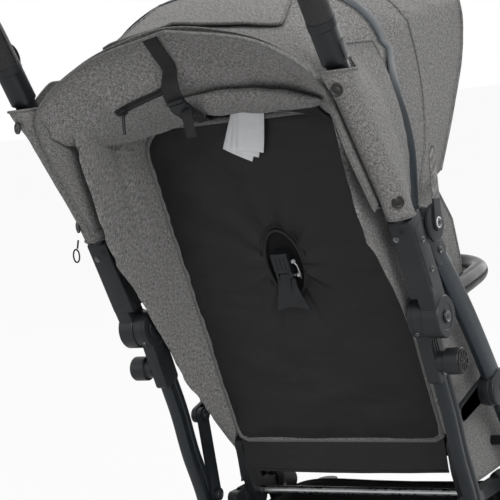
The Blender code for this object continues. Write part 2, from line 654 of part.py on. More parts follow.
# Canopy
BOW_FRONT_X = 0.2004
BOW_MID_X = 0.1966
BOW_FRONT = ((0.0, 0.0), (-0.0004, 0.150), (-0.0010, 0.255), (-0.0110, 0.330), (-0.0420, 0.370),
             (-0.1104, 0.388), (-0.1704, 0.392))
BOW_MID = ((0.0, 0.0), (-0.0010, 0.060), (-0.0060, 0.140), (-0.0126, 0.200), (-0.0306, 0.250),
           (-0.0636, 0.280), (-0.1266, 0.295), (-0.1666, 0.2985))
FRONT_LEAN = 42.0
HOOPS = (
    ((0.2034, -0.098, 0.148), (0.2034, -0.150, 0.225), (0.2030, -0.183, 0.290), (0.180, -0.188, 0.325),
     (0.110, -0.186, 0.362), (0.0, -0.184, 0.384)),
    ((0.2034, -0.012, 0.148), (0.2034, -0.004, 0.220), (0.2034, -0.010, 0.300), (0.184, -0.020, 0.373),
     (0.110, -0.026, 0.419), (0.0, -0.028, 0.433)),
    ((0.2034, 0.040, 0.154), (0.2034, 0.074, 0.220), (0.2034, 0.080, 0.300), (0.195, 0.058, 0.380),
     (0.115, 0.052, 0.432), (0.0, 0.050, 0.446)),
    ((0.2034, 0.105, 0.172), (0.2034, 0.165, 0.245), (0.2034, 0.218, 0.325), (0.197, 0.226, 0.392),
     (0.115, 0.248, 0.432), (0.0, 0.256, 0.443)),
)


def bow(name, x, lean, shape, mat):
    e = (sin(radians(lean)), cos(radians(lean)))
    right = [at(x + dx, H[0] + e[0] * s, H[1] + e[1] * s) for dx, s in shape]
    left = [Vector((-p.x, p.y, p.z)) for p in reversed(right)]
    ob = sweep(name, right + left, 0.0032, 0.0100, mat, steps=8, power=3.0, per=1)
    for k in (-1, 1):
        join(ob, cyl("root", k, x - 0.0016, x + 0.0016, H, 0.0120, steps=16))
    for k in (-1, 1):
        cut(ob, cyl("bore", k, 0.15, 0.25, H, 0.0056, steps=16))
    return ob


def build_canopy(mat):
    bow("canopy_front_bow", BOW_FRONT_X, FRONT_LEAN, BOW_FRONT, mat["steel"])
    bow("canopy_mid_bow", BOW_MID_X, 0.0, BOW_MID, mat["steel"])
    for tag, s in SIDES:
        plate("bow_strap_" + tag, s, 0.2418, 0.2445, [(*H, 0.0100), (-0.0020, 0.2050, 0.0055)], mat["satin"])

    rows = []
    for hoop in HOOPS:
        half = [at(*p) for p in hoop]
        line = smooth_path(half + [Vector((-p.x, p.y, p.z)) for p in reversed(half[:-1])], 2)
        rows.append(line)
    bm = bmesh.new()
    count = len(rows[0])
    columns = [smooth_path([row[i] for row in rows], 3) for i in range(count)]
    grid = [[bm.verts.new(p) for p in column] for column in columns]
    for i in range(count - 1):
        for j in range(len(grid[0]) - 1):
            bm.faces.new((grid[i][j], grid[i + 1][j], grid[i + 1][j + 1], grid[i][j + 1]))
    shell = from_bmesh("canopy_shell", bm, mat["fabric_grey"], 60)
    mod = shell.modifiers.new("thickness", 'SOLIDIFY')
    mod.thickness = 0.0018
    mod.offset = 0.0
    return shell


def main():
    clear()
    mat = {
        "frame_black": material("frame_black", (0.020, 0.021, 0.023), 0.45),
        "tube_black": material("tube_black", (0.022, 0.024, 0.027), 0.40, 0.2),
        "frame_grey": material("frame_grey", (0.045, 0.050, 0.056), 0.40, 0.3),
        "frame_blue": material("frame_blue", (0.070, 0.090, 0.110), 0.35, 0.4),
        "steel": material("steel", (0.35, 0.36, 0.37), 0.35, 0.9),
        "satin": material("satin", (0.10, 0.12, 0.14), 0.40, 0.6),
        "grip": material("grip", (0.018, 0.018, 0.019), 0.55),
        "hub_grey": material("hub_grey", (0.16, 0.165, 0.17), 0.50),
        "pedal_grey": material("pedal_grey", (0.06, 0.06, 0.062), 0.50),
        "tyre": material("tyre", (0.025, 0.025, 0.025), 0.80),
        "board": material("board", (0.05, 0.05, 0.05), 0.70),
        "fabric_grey": material("fabric_grey", (0.19, 0.185, 0.18), 0.90),
        "nylon_black": material("nylon_black", (0.013, 0.013, 0.013), 0.60),
    }
    build_chassis(mat)
    build_push_bar(mat)
    build_front_frame(mat)
    build_bumper(mat)
    build_seat(mat)
    build_canopy(mat)


main()
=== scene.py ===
"""Finish and soft goods of a compact folding pushchair.

Metres. X is the width, Y points to the front, Z is up. Side-view places are
given as (y, z) from the main side joint.
"""
import bmesh
import bpy
import json
from math import copysign, cos, exp, pi, radians, sin, sqrt
from mathutils import Matrix, Vector, noise

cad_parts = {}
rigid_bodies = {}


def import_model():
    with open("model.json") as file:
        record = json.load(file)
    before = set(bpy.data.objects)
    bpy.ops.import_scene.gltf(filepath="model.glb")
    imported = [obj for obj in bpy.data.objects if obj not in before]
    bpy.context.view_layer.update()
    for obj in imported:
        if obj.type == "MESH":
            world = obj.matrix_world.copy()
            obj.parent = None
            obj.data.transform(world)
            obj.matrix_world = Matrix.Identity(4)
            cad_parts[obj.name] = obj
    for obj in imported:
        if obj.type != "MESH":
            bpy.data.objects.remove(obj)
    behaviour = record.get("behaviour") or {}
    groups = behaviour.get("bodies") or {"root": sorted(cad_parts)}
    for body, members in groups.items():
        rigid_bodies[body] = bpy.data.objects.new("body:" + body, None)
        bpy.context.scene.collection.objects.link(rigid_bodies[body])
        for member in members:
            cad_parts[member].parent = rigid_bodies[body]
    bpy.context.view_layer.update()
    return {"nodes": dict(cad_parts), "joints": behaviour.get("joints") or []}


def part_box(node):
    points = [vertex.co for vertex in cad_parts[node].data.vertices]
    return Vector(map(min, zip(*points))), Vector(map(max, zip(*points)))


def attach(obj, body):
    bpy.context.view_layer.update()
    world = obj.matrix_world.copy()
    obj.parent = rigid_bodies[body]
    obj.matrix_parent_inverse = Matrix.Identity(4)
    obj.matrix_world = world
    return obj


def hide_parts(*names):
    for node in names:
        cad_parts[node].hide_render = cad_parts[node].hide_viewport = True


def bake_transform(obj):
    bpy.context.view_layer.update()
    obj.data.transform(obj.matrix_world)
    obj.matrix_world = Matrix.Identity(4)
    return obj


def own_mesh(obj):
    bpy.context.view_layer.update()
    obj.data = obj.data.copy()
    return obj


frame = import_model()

bl_info = {
    "name": "Folding pushchair finish",
    "version": (1, 0, 0),
    "blender": (4, 5, 0),
    "location": "3D View > Sidebar > Pushchair",
    "description": "Canopy, covers, padding, trims and finishes for the folding pushchair",
    "category": "Add Mesh",
}

SIDES = (("right", 1.0), ("left", -1.0))

# Places taken from the frame
JOINTS = {joint["name"]: joint for joint in frame["joints"]}
MAIN = Vector(JOINTS["fold"]["pos_m"])
RECLINE = Vector(JOINTS["recline"]["pos_m"]) - MAIN
CANOPY_PIVOT = Vector(JOINTS["canopy_front_fold"]["pos_m"]) - MAIN
BACK_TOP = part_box("back_cover")[1].z - MAIN.z
BACK_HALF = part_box("back_cover")[1].x

# Side planes and routes of the frame
TUBE_X = 0.2207
FRONT_X = 0.2165
LEG_X = 0.2050
PUSH_ROUTE = ((-0.0465, 0.106), (-0.075, 0.160), (-0.115, 0.222), (-0.150, 0.275), (-0.180, 0.325),
              (-0.196, 0.355), (-0.210, 0.384))
GRIP_ROUTE = ((0.2207, -0.201, 0.365), (0.2207, -0.222, 0.405), (0.2195, -0.243, 0.440),
              (0.208, -0.262, 0.468), (0.180, -0.275, 0.486), (0.120, -0.282, 0.495), (0.045, -0.284, 0.498))
FRONT_ROUTE = ((0.028, 0.080), (0.052, 0.050), (0.077, 0.018), (0.103, -0.017), (0.133, -0.063),
               (0.163, -0.112), (0.192, -0.160), (0.225, -0.213), (0.258, -0.260))
LEG_ROUTE = ((0.020, -0.050), (0.032, -0.085), (0.047, -0.130), (0.061, -0.190), (0.080, -0.245),
             (0.089, -0.290), (0.085, -0.335), (0.066, -0.385), (0.038, -0.428), (0.018, -0.452))
BUMPER_ROUTE = ((0.1890, 0.0740, 0.0030), (0.1890, 0.1200, 0.0090), (0.1880, 0.1900, 0.0150),
                (0.1780, 0.2480, 0.0190), (0.1450, 0.2880, 0.0220), (0.0900, 0.3060, 0.0240),
                (0.0300, 0.3120, 0.0250))
HINGE = (CANOPY_PIVOT.y, CANOPY_PIVOT.z)
BACK_SLOPE = -0.33

# Canopy hoops from the rear hem to the front piping, each from the side's lower edge to the crown
HOOPS = (
    ((0.2034, -0.098, 0.148), (0.2034, -0.150, 0.225), (0.2030, -0.183, 0.290), (0.180, -0.188, 0.325),
     (0.110, -0.186, 0.362), (0.0, -0.184, 0.384)),
    ((0.2034, -0.012, 0.148), (0.2034, -0.004, 0.220), (0.2034, -0.010, 0.300), (0.184, -0.020, 0.373),
     (0.110, -0.026, 0.419), (0.0, -0.028, 0.433)),
    ((0.2034, 0.040, 0.154), (0.2034, 0.074, 0.220), (0.2034, 0.080, 0.300), (0.195, 0.058, 0.380),
     (0.115, 0.052, 0.432), (0.0, 0.050, 0.446)),
    ((0.2034, 0.105, 0.172), (0.2034, 0.165, 0.245), (0.2034, 0.218, 0.325), (0.197, 0.226, 0.392),
     (0.115, 0.248, 0.432), (0.0, 0.256, 0.443)),
)


# Settings a user would change
class ClothSettings(bpy.types.PropertyGroup):
    weave: bpy.props.FloatProperty(name="Weave pitch",
                                   description="Distance between the melange cloth's yarns",
                                   default=0.0014, min=0.0003, max=0.01, unit='LENGTH', precision=5)
    thickness: bpy.props.FloatProperty(name="Cloth thickness", description="Thickness of the melange cloth",
                                       default=0.0014, min=0.0003, max=0.005, unit='LENGTH', precision=4)
    hem: bpy.props.FloatProperty(name="Hem width", description="Width of the canopy's rear hem band",
                                 default=0.0150, min=0.004, max=0.05, unit='LENGTH', precision=4)
    piping: bpy.props.FloatProperty(name="Piping radius", description="Radius of the corded edges",
                                    default=0.0026, min=0.0005, max=0.01, unit='LENGTH', precision=4)
    light: bpy.props.FloatVectorProperty(name="Light yarn", description="Colour of the melange's light yarn",
                                         subtype='COLOR', size=3, min=0, max=1, default=(0.282, 0.277, 0.273))
    dark: bpy.props.FloatVectorProperty(name="Dark yarn", description="Colour of the melange's dark yarn",
                                        subtype='COLOR', size=3, min=0, max=1, default=(0.094, 0.092, 0.090))
    nylon: bpy.props.FloatVectorProperty(name="Nylon", description="Colour of the backrest's nylon",
                                         subtype='COLOR', size=3, min=0, max=1,
                                         default=(0.0125, 0.0125, 0.0130))


class FrameSettings(bpy.types.PropertyGroup):
    black: bpy.props.FloatVectorProperty(name="Moulded black", description="Colour of the moulded joints",
                                         subtype='COLOR', size=3, min=0, max=1,
                                         default=(0.012, 0.0132, 0.0148))
    satin: bpy.props.FloatVectorProperty(name="Satin tube",
                                         description="Colour of the front tubes' satin finish",
                                         subtype='COLOR', size=3, min=0, max=1, default=(0.026, 0.034, 0.042))
    leather: bpy.props.FloatVectorProperty(name="Grip cover", description="Colour of the grips' leatherette",
                                           subtype='COLOR', size=3, min=0, max=1,
                                           default=(0.016, 0.016, 0.017))
    tyre: bpy.props.FloatVectorProperty(name="Tyre", description="Colour of the tyres",
                                        subtype='COLOR', size=3, min=0, max=1, default=(0.022, 0.022, 0.023))


# Small geometry helpers
def at(x, y, z):
    """Point from the main side joint to the shared frame."""
    return Vector((x, y + MAIN.y, z + MAIN.z))


def back_point(x, u, n):
    """Point u up the backrest from its hinge and n in front of its hinge plane."""
    k = sqrt(1 + BACK_SLOPE * BACK_SLOPE)
    y = RECLINE.y + (BACK_SLOPE * u + n) / k
    z = RECLINE.z + (u - BACK_SLOPE * n) / k
    return at(x, y, z)


BACK_LEN = (BACK_TOP - RECLINE.z) * sqrt(1 + BACK_SLOPE * BACK_SLOPE)


def smooth_line(points, count):
    """Catmull-Rom line through the points, sampled evenly along its length."""
    pts = [Vector(p) for p in points]
    ext = [pts[0] * 2 - pts[1]] + pts + [pts[-1] * 2 - pts[-2]]
    dense = []
    for i in range(1, len(ext) - 2):
        a, b, c, d = ext[i - 1:i + 3]
        for k in range(24):
            t = k / 24
            dense.append(0.5 * ((2 * b) + (c - a) * t + (2 * a - 5 * b + 4 * c - d) * t * t
                                + (3 * b - a - 3 * c + d) * t * t * t))
    dense.append(pts[-1])
    lengths = [0.0]
    for i in range(1, len(dense)):
        lengths.append(lengths[-1] + (dense[i] - dense[i - 1]).length)
    out, j = [], 0
    for i in range(count):
        want = lengths[-1] * i / (count - 1)
        while j < len(lengths) - 2 and lengths[j + 1] < want:
            j += 1
        span = max(lengths[j + 1] - lengths[j], 1e-9)
        out.append(dense[j].lerp(dense[j + 1], min(1.0, (want - lengths[j]) / span)))
    return out


def mirrored(points):
    """A half line carried on across the middle plane."""
    return list(points) + [Vector((-p.x, p.y, p.z)) for p in reversed(list(points)[:-1])]


def bump_noise(p, scale, seed=0.0):
    return noise.noise(Vector((p[0] * scale + seed, p[1] * scale - seed, p[2] * scale + 2 * seed)))


def ease(t):
    t = max(0.0, min(1.0, t))
    return t * t * (3 - 2 * t)


# Object helpers
def alone(obj=None):
    """Leaves edit mode, deselects all and makes obj the only active one."""
    if bpy.context.object and bpy.context.object.mode != 'OBJECT':
        bpy.ops.object.mode_set(mode='OBJECT')
    for other in bpy.context.view_layer.objects:
        other.select_set(False)
    if obj:
        obj.select_set(True)
        bpy.context.view_layer.objects.active = obj
    return obj


def settle(obj):
    """Applies place, turn and size, so that the object sits at the origin."""
    alone(obj)
    bpy.ops.object.transform_apply(location=True, rotation=True, scale=True)
    return obj


def modify(obj, kind, **values):
    """Adds a modifier, sets it and applies it."""
    alone(obj)
    mod = obj.modifiers.new(kind.lower(), kind)
    for key, value in values.items():
        setattr(mod, key, value)
    bpy.ops.object.modifier_apply(modifier=mod.name)
    return obj


def smooth(obj, degrees=40):
    alone(obj)
    bpy.ops.object.shade_smooth_by_angle(angle=radians(degrees))
    return obj


def paint(obj, material, slot=None):
    obj.data.materials.clear()
    obj.data.materials.append(material)
    return obj


def choose(obj, test, kind='FACE'):
    """In edit mode, selects the faces or edges that pass the test, and nothing else."""
    bpy.ops.mesh.select_mode(type=kind)
    bpy.ops.mesh.select_all(action='DESELECT')
    mesh = bmesh.from_edit_mesh(obj.data)
    for item in (mesh.faces if kind == 'FACE' else mesh.edges):
        if test(item):
            item.select = True
    mesh.select_flush_mode()
    bmesh.update_edit_mesh(obj.data)


def edit(obj):
    alone(obj)
    bpy.ops.object.mode_set(mode='EDIT')


def leave(obj):
    bpy.ops.object.mode_set(mode='OBJECT')
    return obj


def grid_mesh(name, rows, loop=False, flip=False):
    """Mesh over rows of points, with its cloth coordinates in metres along both ways."""
    mesh = bmesh.new()
    verts = [[mesh.verts.new(p) for p in row] for row in rows]
    across, down = [], []
    for row in rows:
        run = [0.0]
        for a, b in zip(row, row[1:] + row[:1]):
            run.append(run[-1] + (Vector(b) - Vector(a)).length)
        across.append(run)
    for j in range(len(rows[0])):
        run = [0.0]
        for i in range(1, len(rows)):
            run.append(run[-1] + (Vector(rows[i][j]) - Vector(rows[i - 1][j])).length)
        down.append(run)
    layer = mesh.loops.layers.uv.new("cloth")
    n = len(rows[0])
    for i in range(len(rows) - 1):
        for j in range(n if loop else n - 1):
            quad = [(i, j), (i, j + 1), (i + 1, j + 1), (i + 1, j)]
            face = mesh.faces.new([verts[a][b % n] for a, b in quad])
            for corner, (a, b) in zip(face.loops, quad):
                middle = across[a][-1 if loop else n - 1] / 2
                corner[layer].uv = (across[a][b] - middle, down[b % n][a])
            if flip:
                face.normal_flip()
    data = bpy.data.meshes.new(name)
    mesh.to_mesh(data)
    mesh.free()
    obj = bpy.data.objects.new(name, data)
    bpy.context.scene.collection.objects.link(obj)
    return obj


def facing(obj, centre):
    """Turns an open sheet's faces away from a centre."""
    mesh = bmesh.new()
    mesh.from_mesh(obj.data)
    bmesh.ops.recalc_face_normals(mesh, faces=mesh.faces)
    total = sum((f.calc_center_median() - centre).dot(f.normal) * f.calc_area() for f in mesh.faces)
    if total < 0:
        bmesh.ops.reverse_faces(mesh, faces=mesh.faces)
    mesh.to_mesh(obj.data)
    mesh.free()
    return obj


def wall(obj, thickness, offset=1.0, levels=1):
    """Gives a sheet its thickness and rounds it."""
    modify(obj, 'SOLIDIFY', thickness=thickness, offset=offset)
    if levels:
        modify(obj, 'SUBSURF', levels=levels, render_levels=levels)
    return smooth(obj, 60)


def tube(name, points, radius, sides=10, count=None, caps=True):
    """Round cord or bar along the points, made as a bevelled curve and turned into a mesh."""
    line = smooth_line(points, count) if count else [Vector(p) for p in points]
    curve = bpy.data.curves.new(name, 'CURVE')
    curve.dimensions = '3D'
    curve.bevel_depth = radius
    curve.bevel_resolution = max(0, sides // 2 - 2)
    curve.use_fill_caps = caps
    spline = curve.splines.new('POLY')
    spline.points.add(len(line) - 1)
    for point, p in zip(spline.points, line):
        point.co = (*p, 1.0)
    obj = bpy.data.objects.new(name, curve)
    bpy.context.scene.collection.objects.link(obj)
    alone(obj)
    bpy.ops.object.convert(target='MESH')
    modify(obj, 'WELD', merge_threshold=0.00002)
    return smooth(obj, 50)


def bar(name, points, wide, deep, up, count=40, steps=24, power=2.0, caps=True):
    """Bar of oval or box-like section along a smooth line, wide along `up`."""
    line = smooth_line(points, count)
    rows = []
    for i, p in enumerate(line):
        t = (line[min(i + 1, count - 1)] - line[max(i - 1, 0)]).normalized()
        ref = up(i / (count - 1), p) if callable(up) else Vector(up)
        side = (ref - t * ref.dot(t)).normalized()
        other = t.cross(side)
        w = wide(i / (count - 1)) if callable(wide) else wide
        d = deep(i / (count - 1)) if callable(deep) else deep
        row = []
        for k in range(steps):
            c, s = cos(2 * pi * k / steps), sin(2 * pi * k / steps)
            cu = abs(c) ** (2.0 / power) * (1 if c >= 0 else -1)
            su = abs(s) ** (2.0 / power) * (1 if s >= 0 else -1)
            row.append(p + side * cu * w / 2 + other * su * d / 2)
        rows.append(row)
    obj = grid_mesh(name, rows, loop=True)
    mesh = bmesh.new()
    mesh.from_mesh(obj.data)
    if caps:
        bmesh.ops.holes_fill(mesh, edges=[e for e in mesh.edges if e.is_boundary], sides=0)
    bmesh.ops.recalc_face_normals(mesh, faces=mesh.faces)
    mesh.to_mesh(obj.data)
    mesh.free()
    return smooth(obj, 50)


def joined(name, objects):
    """Joins objects into one piece."""
    alone(objects[0])
    for obj in objects[1:]:
        obj.select_set(True)
    bpy.ops.object.join()
    obj = bpy.context.object
    obj.name = name
    obj.data.name = name
    return obj


def turned(name, side, centre, profile, steps=40):
    """Turned part on an axis along X: the profile of (distance from the middle plane, radius) is spun."""
    mesh = bpy.data.meshes.new(name)
    points = [at(side * x, centre[0], centre[1] + r) for x, r in profile]
    mesh.from_pydata(points, [(i, i + 1) for i in range(len(points) - 1)], [])
    obj = bpy.data.objects.new(name, mesh)
    bpy.context.scene.collection.objects.link(obj)
    edit(obj)
    bpy.ops.mesh.select_all(action='SELECT')
    bpy.ops.mesh.spin(steps=steps, angle=2 * pi, center=at(0, *centre), axis=(1, 0, 0), use_auto_merge=True)
    bpy.ops.mesh.select_all(action='SELECT')
    bpy.ops.mesh.remove_doubles(threshold=0.00001)
    bpy.ops.mesh.normals_make_consistent(inside=False)
    leave(obj)
    return smooth(obj, 35)


# Materials
class Finish:
    """A Principled material and short calls that add nodes to it."""

    def __init__(self, name, colour, roughness, metallic=0.0, shine=0.3, **sockets):
        self.material = bpy.data.materials.new(name)
        self.material.use_nodes = True
        self.tree = self.material.node_tree
        self.shader = self.tree.nodes["Principled BSDF"]
        self.shader.inputs["Base Color"].default_value = (*colour, 1.0)
        self.shader.inputs["Roughness"].default_value = roughness
        self.shader.inputs["Metallic"].default_value = metallic
        self.shader.inputs["Specular IOR Level"].default_value = shine
        for key, value in sockets.items():
            self.shader.inputs[key.replace("_", " ").title()].default_value = value

    def node(self, kind, settings=(), inputs=()):
        made = self.tree.nodes.new("ShaderNode" + kind)
        for key, value in dict(settings).items():
            setattr(made, key, value)
        for key, value in dict(inputs).items():
            if isinstance(value, bpy.types.NodeSocket):
                self.tree.links.new(value, made.inputs[key])
            else:
                made.inputs[key].default_value = value
        return made

    def math(self, operation, a, b=0.0):
        return self.node("Math", {"operation": operation}, {0: a, 1: b}).outputs[0]

    def place(self, source="object"):
        """The cloth's own coordinates, or the piece's place in the object."""
        if source == "cloth":
            return self.node("UVMap", {"uv_map": "cloth"}).outputs["UV"]
        return self.node("TexCoord").outputs["Object"]

    def flat_place(self, source):
        """Two coordinates in metres along the cloth."""
        where = self.node("SeparateXYZ", (), {0: self.place(source)})
        if source == "cloth":
            return where.outputs[0], where.outputs[1]
        return where.outputs[0], self.math('SUBTRACT', where.outputs[2], where.outputs[1])

    def noise(self, where, scale, detail=2.0):
        return self.node("TexNoise", (), {"Vector": where, "Scale": scale, "Detail": detail}).outputs["Fac"]

    def range(self, value, low, high, out_low, out_high):
        return self.node("MapRange", (), {"Value": value, "From Min": low, "From Max": high,
                                          "To Min": out_low, "To Max": out_high}).outputs["Result"]

    def blend(self, share, a, b):
        mix = self.node("Mix", {"data_type": 'RGBA'})
        self.tree.links.new(share, mix.inputs[0])
        for index, value in ((6, a), (7, b)):
            if isinstance(value, bpy.types.NodeSocket):
                self.tree.links.new(value, mix.inputs[index])
            else:
                mix.inputs[index].default_value = (*value, 1.0)
        return mix.outputs[2]

    def colour(self, socket):
        self.tree.links.new(socket, self.shader.inputs["Base Color"])

    def roughness(self, socket):
        self.tree.links.new(socket, self.shader.inputs["Roughness"])

    def relief(self, height, distance, strength=1.0):
        """Adds a bump, on top of the one before."""
        old = self.shader.inputs["Normal"]
        before = old.links[0].from_socket if old.links else None
        made = self.node("Bump", (), {"Height": height, "Distance": distance, "Strength": strength})
        if before:
            self.tree.links.new(before, made.inputs["Normal"])
        self.tree.links.new(made.outputs[0], old)


def melange(name, light, dark, pitch, source="cloth"):
    """Heathered plain weave: yarns that change shade along their length."""
    cloth = Finish(name, light, 0.92, shine=0.2, sheen_weight=0.10, sheen_roughness=0.5)
    u, v = cloth.flat_place(source)
    threads = []
    for a, b, seed in ((u, v, 3.0), (v, u, 11.0)):
        across = cloth.math('DIVIDE', a, pitch * 0.9)
        along = cloth.math('DIVIDE', b, pitch * 3.6)
        spot = cloth.node("CombineXYZ", (), {0: across, 1: along, 2: seed}).outputs[0]
        threads.append(cloth.noise(spot, 1.0, 1.0))
    fleck = cloth.math('ADD', threads[0], threads[1])
    patch = cloth.noise(cloth.place(source), 26.0, 3.0)
    fleck = cloth.math('ADD', fleck, cloth.math('MULTIPLY', patch, 0.10))
    turn = 2 * pi / (pitch * 2.0)
    twill = cloth.math('SINE', cloth.math('MULTIPLY', cloth.math('ADD', u, v), turn))
    weave = cloth.math('MULTIPLY', cloth.math('SINE', cloth.math('MULTIPLY', u, turn)),
                       cloth.math('SINE', cloth.math('MULTIPLY', v, turn)))
    fleck = cloth.math('ADD', fleck, cloth.math('MULTIPLY', twill, 0.085))
    share = cloth.range(fleck, 0.84, 1.27, 0.0, 1.0)
    cloth.colour(cloth.blend(share, dark, light))
    cloth.relief(weave, 0.0003, 0.7)
    cloth.relief(cloth.noise(cloth.place(source), 70.0, 2.0), 0.0010, 0.20)
    return cloth.material


def nylon(name, colour, source="cloth"):
    """Tight, faintly shiny plain weave."""
    cloth = Finish(name, colour, 0.46, shine=0.26)
    u, v = cloth.flat_place(source)
    turn = 2 * pi / 0.0011
    weave = cloth.math('MULTIPLY', cloth.math('SINE', cloth.math('MULTIPLY', u, turn)),
                       cloth.math('SINE', cloth.math('MULTIPLY', v, turn)))
    cloth.relief(weave, 0.00012, 0.5)
    patch = cloth.noise(cloth.place(source), 14.0, 3.0)
    cloth.colour(cloth.blend(cloth.range(patch, 0.3, 0.7, 0.0, 1.0), [c * 0.8 for c in colour],
                             [c * 1.25 for c in colour]))
    cloth.roughness(cloth.range(patch, 0.3, 0.7, 0.42, 0.58))
    cloth.relief(cloth.noise(cloth.place(source), 34.0, 3.0), 0.0045, 0.45)
    return cloth.material


def webbing(name, colour):
    """Ribbed woven strap."""
    strap = Finish(name, colour, 0.7, shine=0.2)
    u, v = strap.flat_place("cloth")
    ribs = strap.math('SINE', strap.math('MULTIPLY', v, 2 * pi / 0.0016))
    rows = strap.math('SINE', strap.math('MULTIPLY', u, 2 * pi / 0.0022))
    strap.relief(strap.math('ADD', ribs, strap.math('MULTIPLY', rows, 0.6)), 0.0003, 0.6)
    shade = strap.noise(strap.place(), 120.0, 2.0)
    strap.colour(strap.blend(shade, [c * 0.7 for c in colour], [c * 1.4 for c in colour]))
    return strap.material


def moulded(name, colour, roughness=0.42, grain=0.35, shine=0.27):
    """Moulded plastic with a spark-eroded texture and softer, paler rubbed patches."""
    plastic = Finish(name, colour, roughness, shine=shine)
    where = plastic.place()
    fine = plastic.noise(where, 1900.0, 2.0)
    plastic.relief(fine, 0.00012, grain)
    patch = plastic.noise(where, 38.0, 4.0)
    plastic.roughness(plastic.range(patch, 0.3, 0.7, roughness - 0.06, roughness + 0.08))
    plastic.colour(plastic.blend(plastic.range(patch, 0.35, 0.75, 0.0, 1.0), colour,
                                 [c * 1.35 for c in colour]))
    return plastic.material


def coated(name, colour, metallic=0.3, roughness=0.36, streak=0.04):
    """Powder-coated or anodised tube with a fine orange peel."""
    coat = Finish(name, colour, roughness, metallic, shine=0.4)
    where = coat.place()
    coat.relief(coat.noise(where, 700.0, 2.0), 0.00015, 0.25)
    drift = coat.noise(where, 22.0, 3.0)
    coat.roughness(coat.range(drift, 0.3, 0.7, roughness - streak, roughness + streak))
    coat.colour(coat.blend(drift, [c * 0.85 for c in colour], [c * 1.15 for c in colour]))
    return coat.material


def leatherette(name, colour):
    """Pebbled synthetic leather."""
    skin = Finish(name, colour, 0.44, shine=0.35)
    where = skin.place()
    cells = skin.node("TexVoronoi", {"feature": 'DISTANCE_TO_EDGE'},
                      {"Vector": where, "Scale": 620.0}).outputs[0]
    pebble = skin.range(cells, 0.0, 0.22, 0.0, 1.0)
    skin.relief(pebble, 0.00035, 0.6)
    skin.relief(skin.noise(where, 160.0, 3.0), 0.0006, 0.3)
    skin.colour(skin.blend(pebble, [c * 0.55 for c in colour], [c * 1.25 for c in colour]))
    skin.roughness(skin.range(skin.noise(where, 60.0, 2.0), 0.3, 0.7, 0.38, 0.52))
    return skin.material


def metal(name, colour, roughness=0.28):
    """Plated steel with faint handling marks."""
    steel = Finish(name, colour, roughness, 1.0)
    where = steel.place()
    marks = steel.noise(where, 140.0, 4.0)
    steel.roughness(steel.range(marks, 0.3, 0.7, roughness - 0.08, roughness + 0.14))
    steel.relief(steel.noise(where, 900.0, 2.0), 0.0001, 0.15)
    return steel.material


def rubber(name, colour):
    """Dull foam-filled tyre rubber."""
    tread = Finish(name, colour, 0.86, shine=0.2)
    where = tread.place()
    dust = tread.noise(where, 75.0, 5.0)
    tread.colour(tread.blend(tread.range(dust, 0.4, 0.75, 0.0, 1.0), colour, [c * 1.9 for c in colour]))
    tread.relief(tread.noise(where, 1200.0, 2.0), 0.0003, 0.4)
    return tread.material


def paper_tape(name):
    """Bare white satin tape of a sewn-in label."""
    tape = Finish(name, (0.72, 0.73, 0.74), 0.5)
    _, v = tape.flat_place("cloth")
    tape.relief(tape.math('SINE', tape.math('MULTIPLY', v, 2 * pi / 0.0009)), 0.0001, 0.3)
    tape.colour(tape.blend(tape.noise(tape.place(), 60.0, 2.0), (0.66, 0.67, 0.69), (0.78, 0.79, 0.80)))
    return tape.material


FINISHES = {}


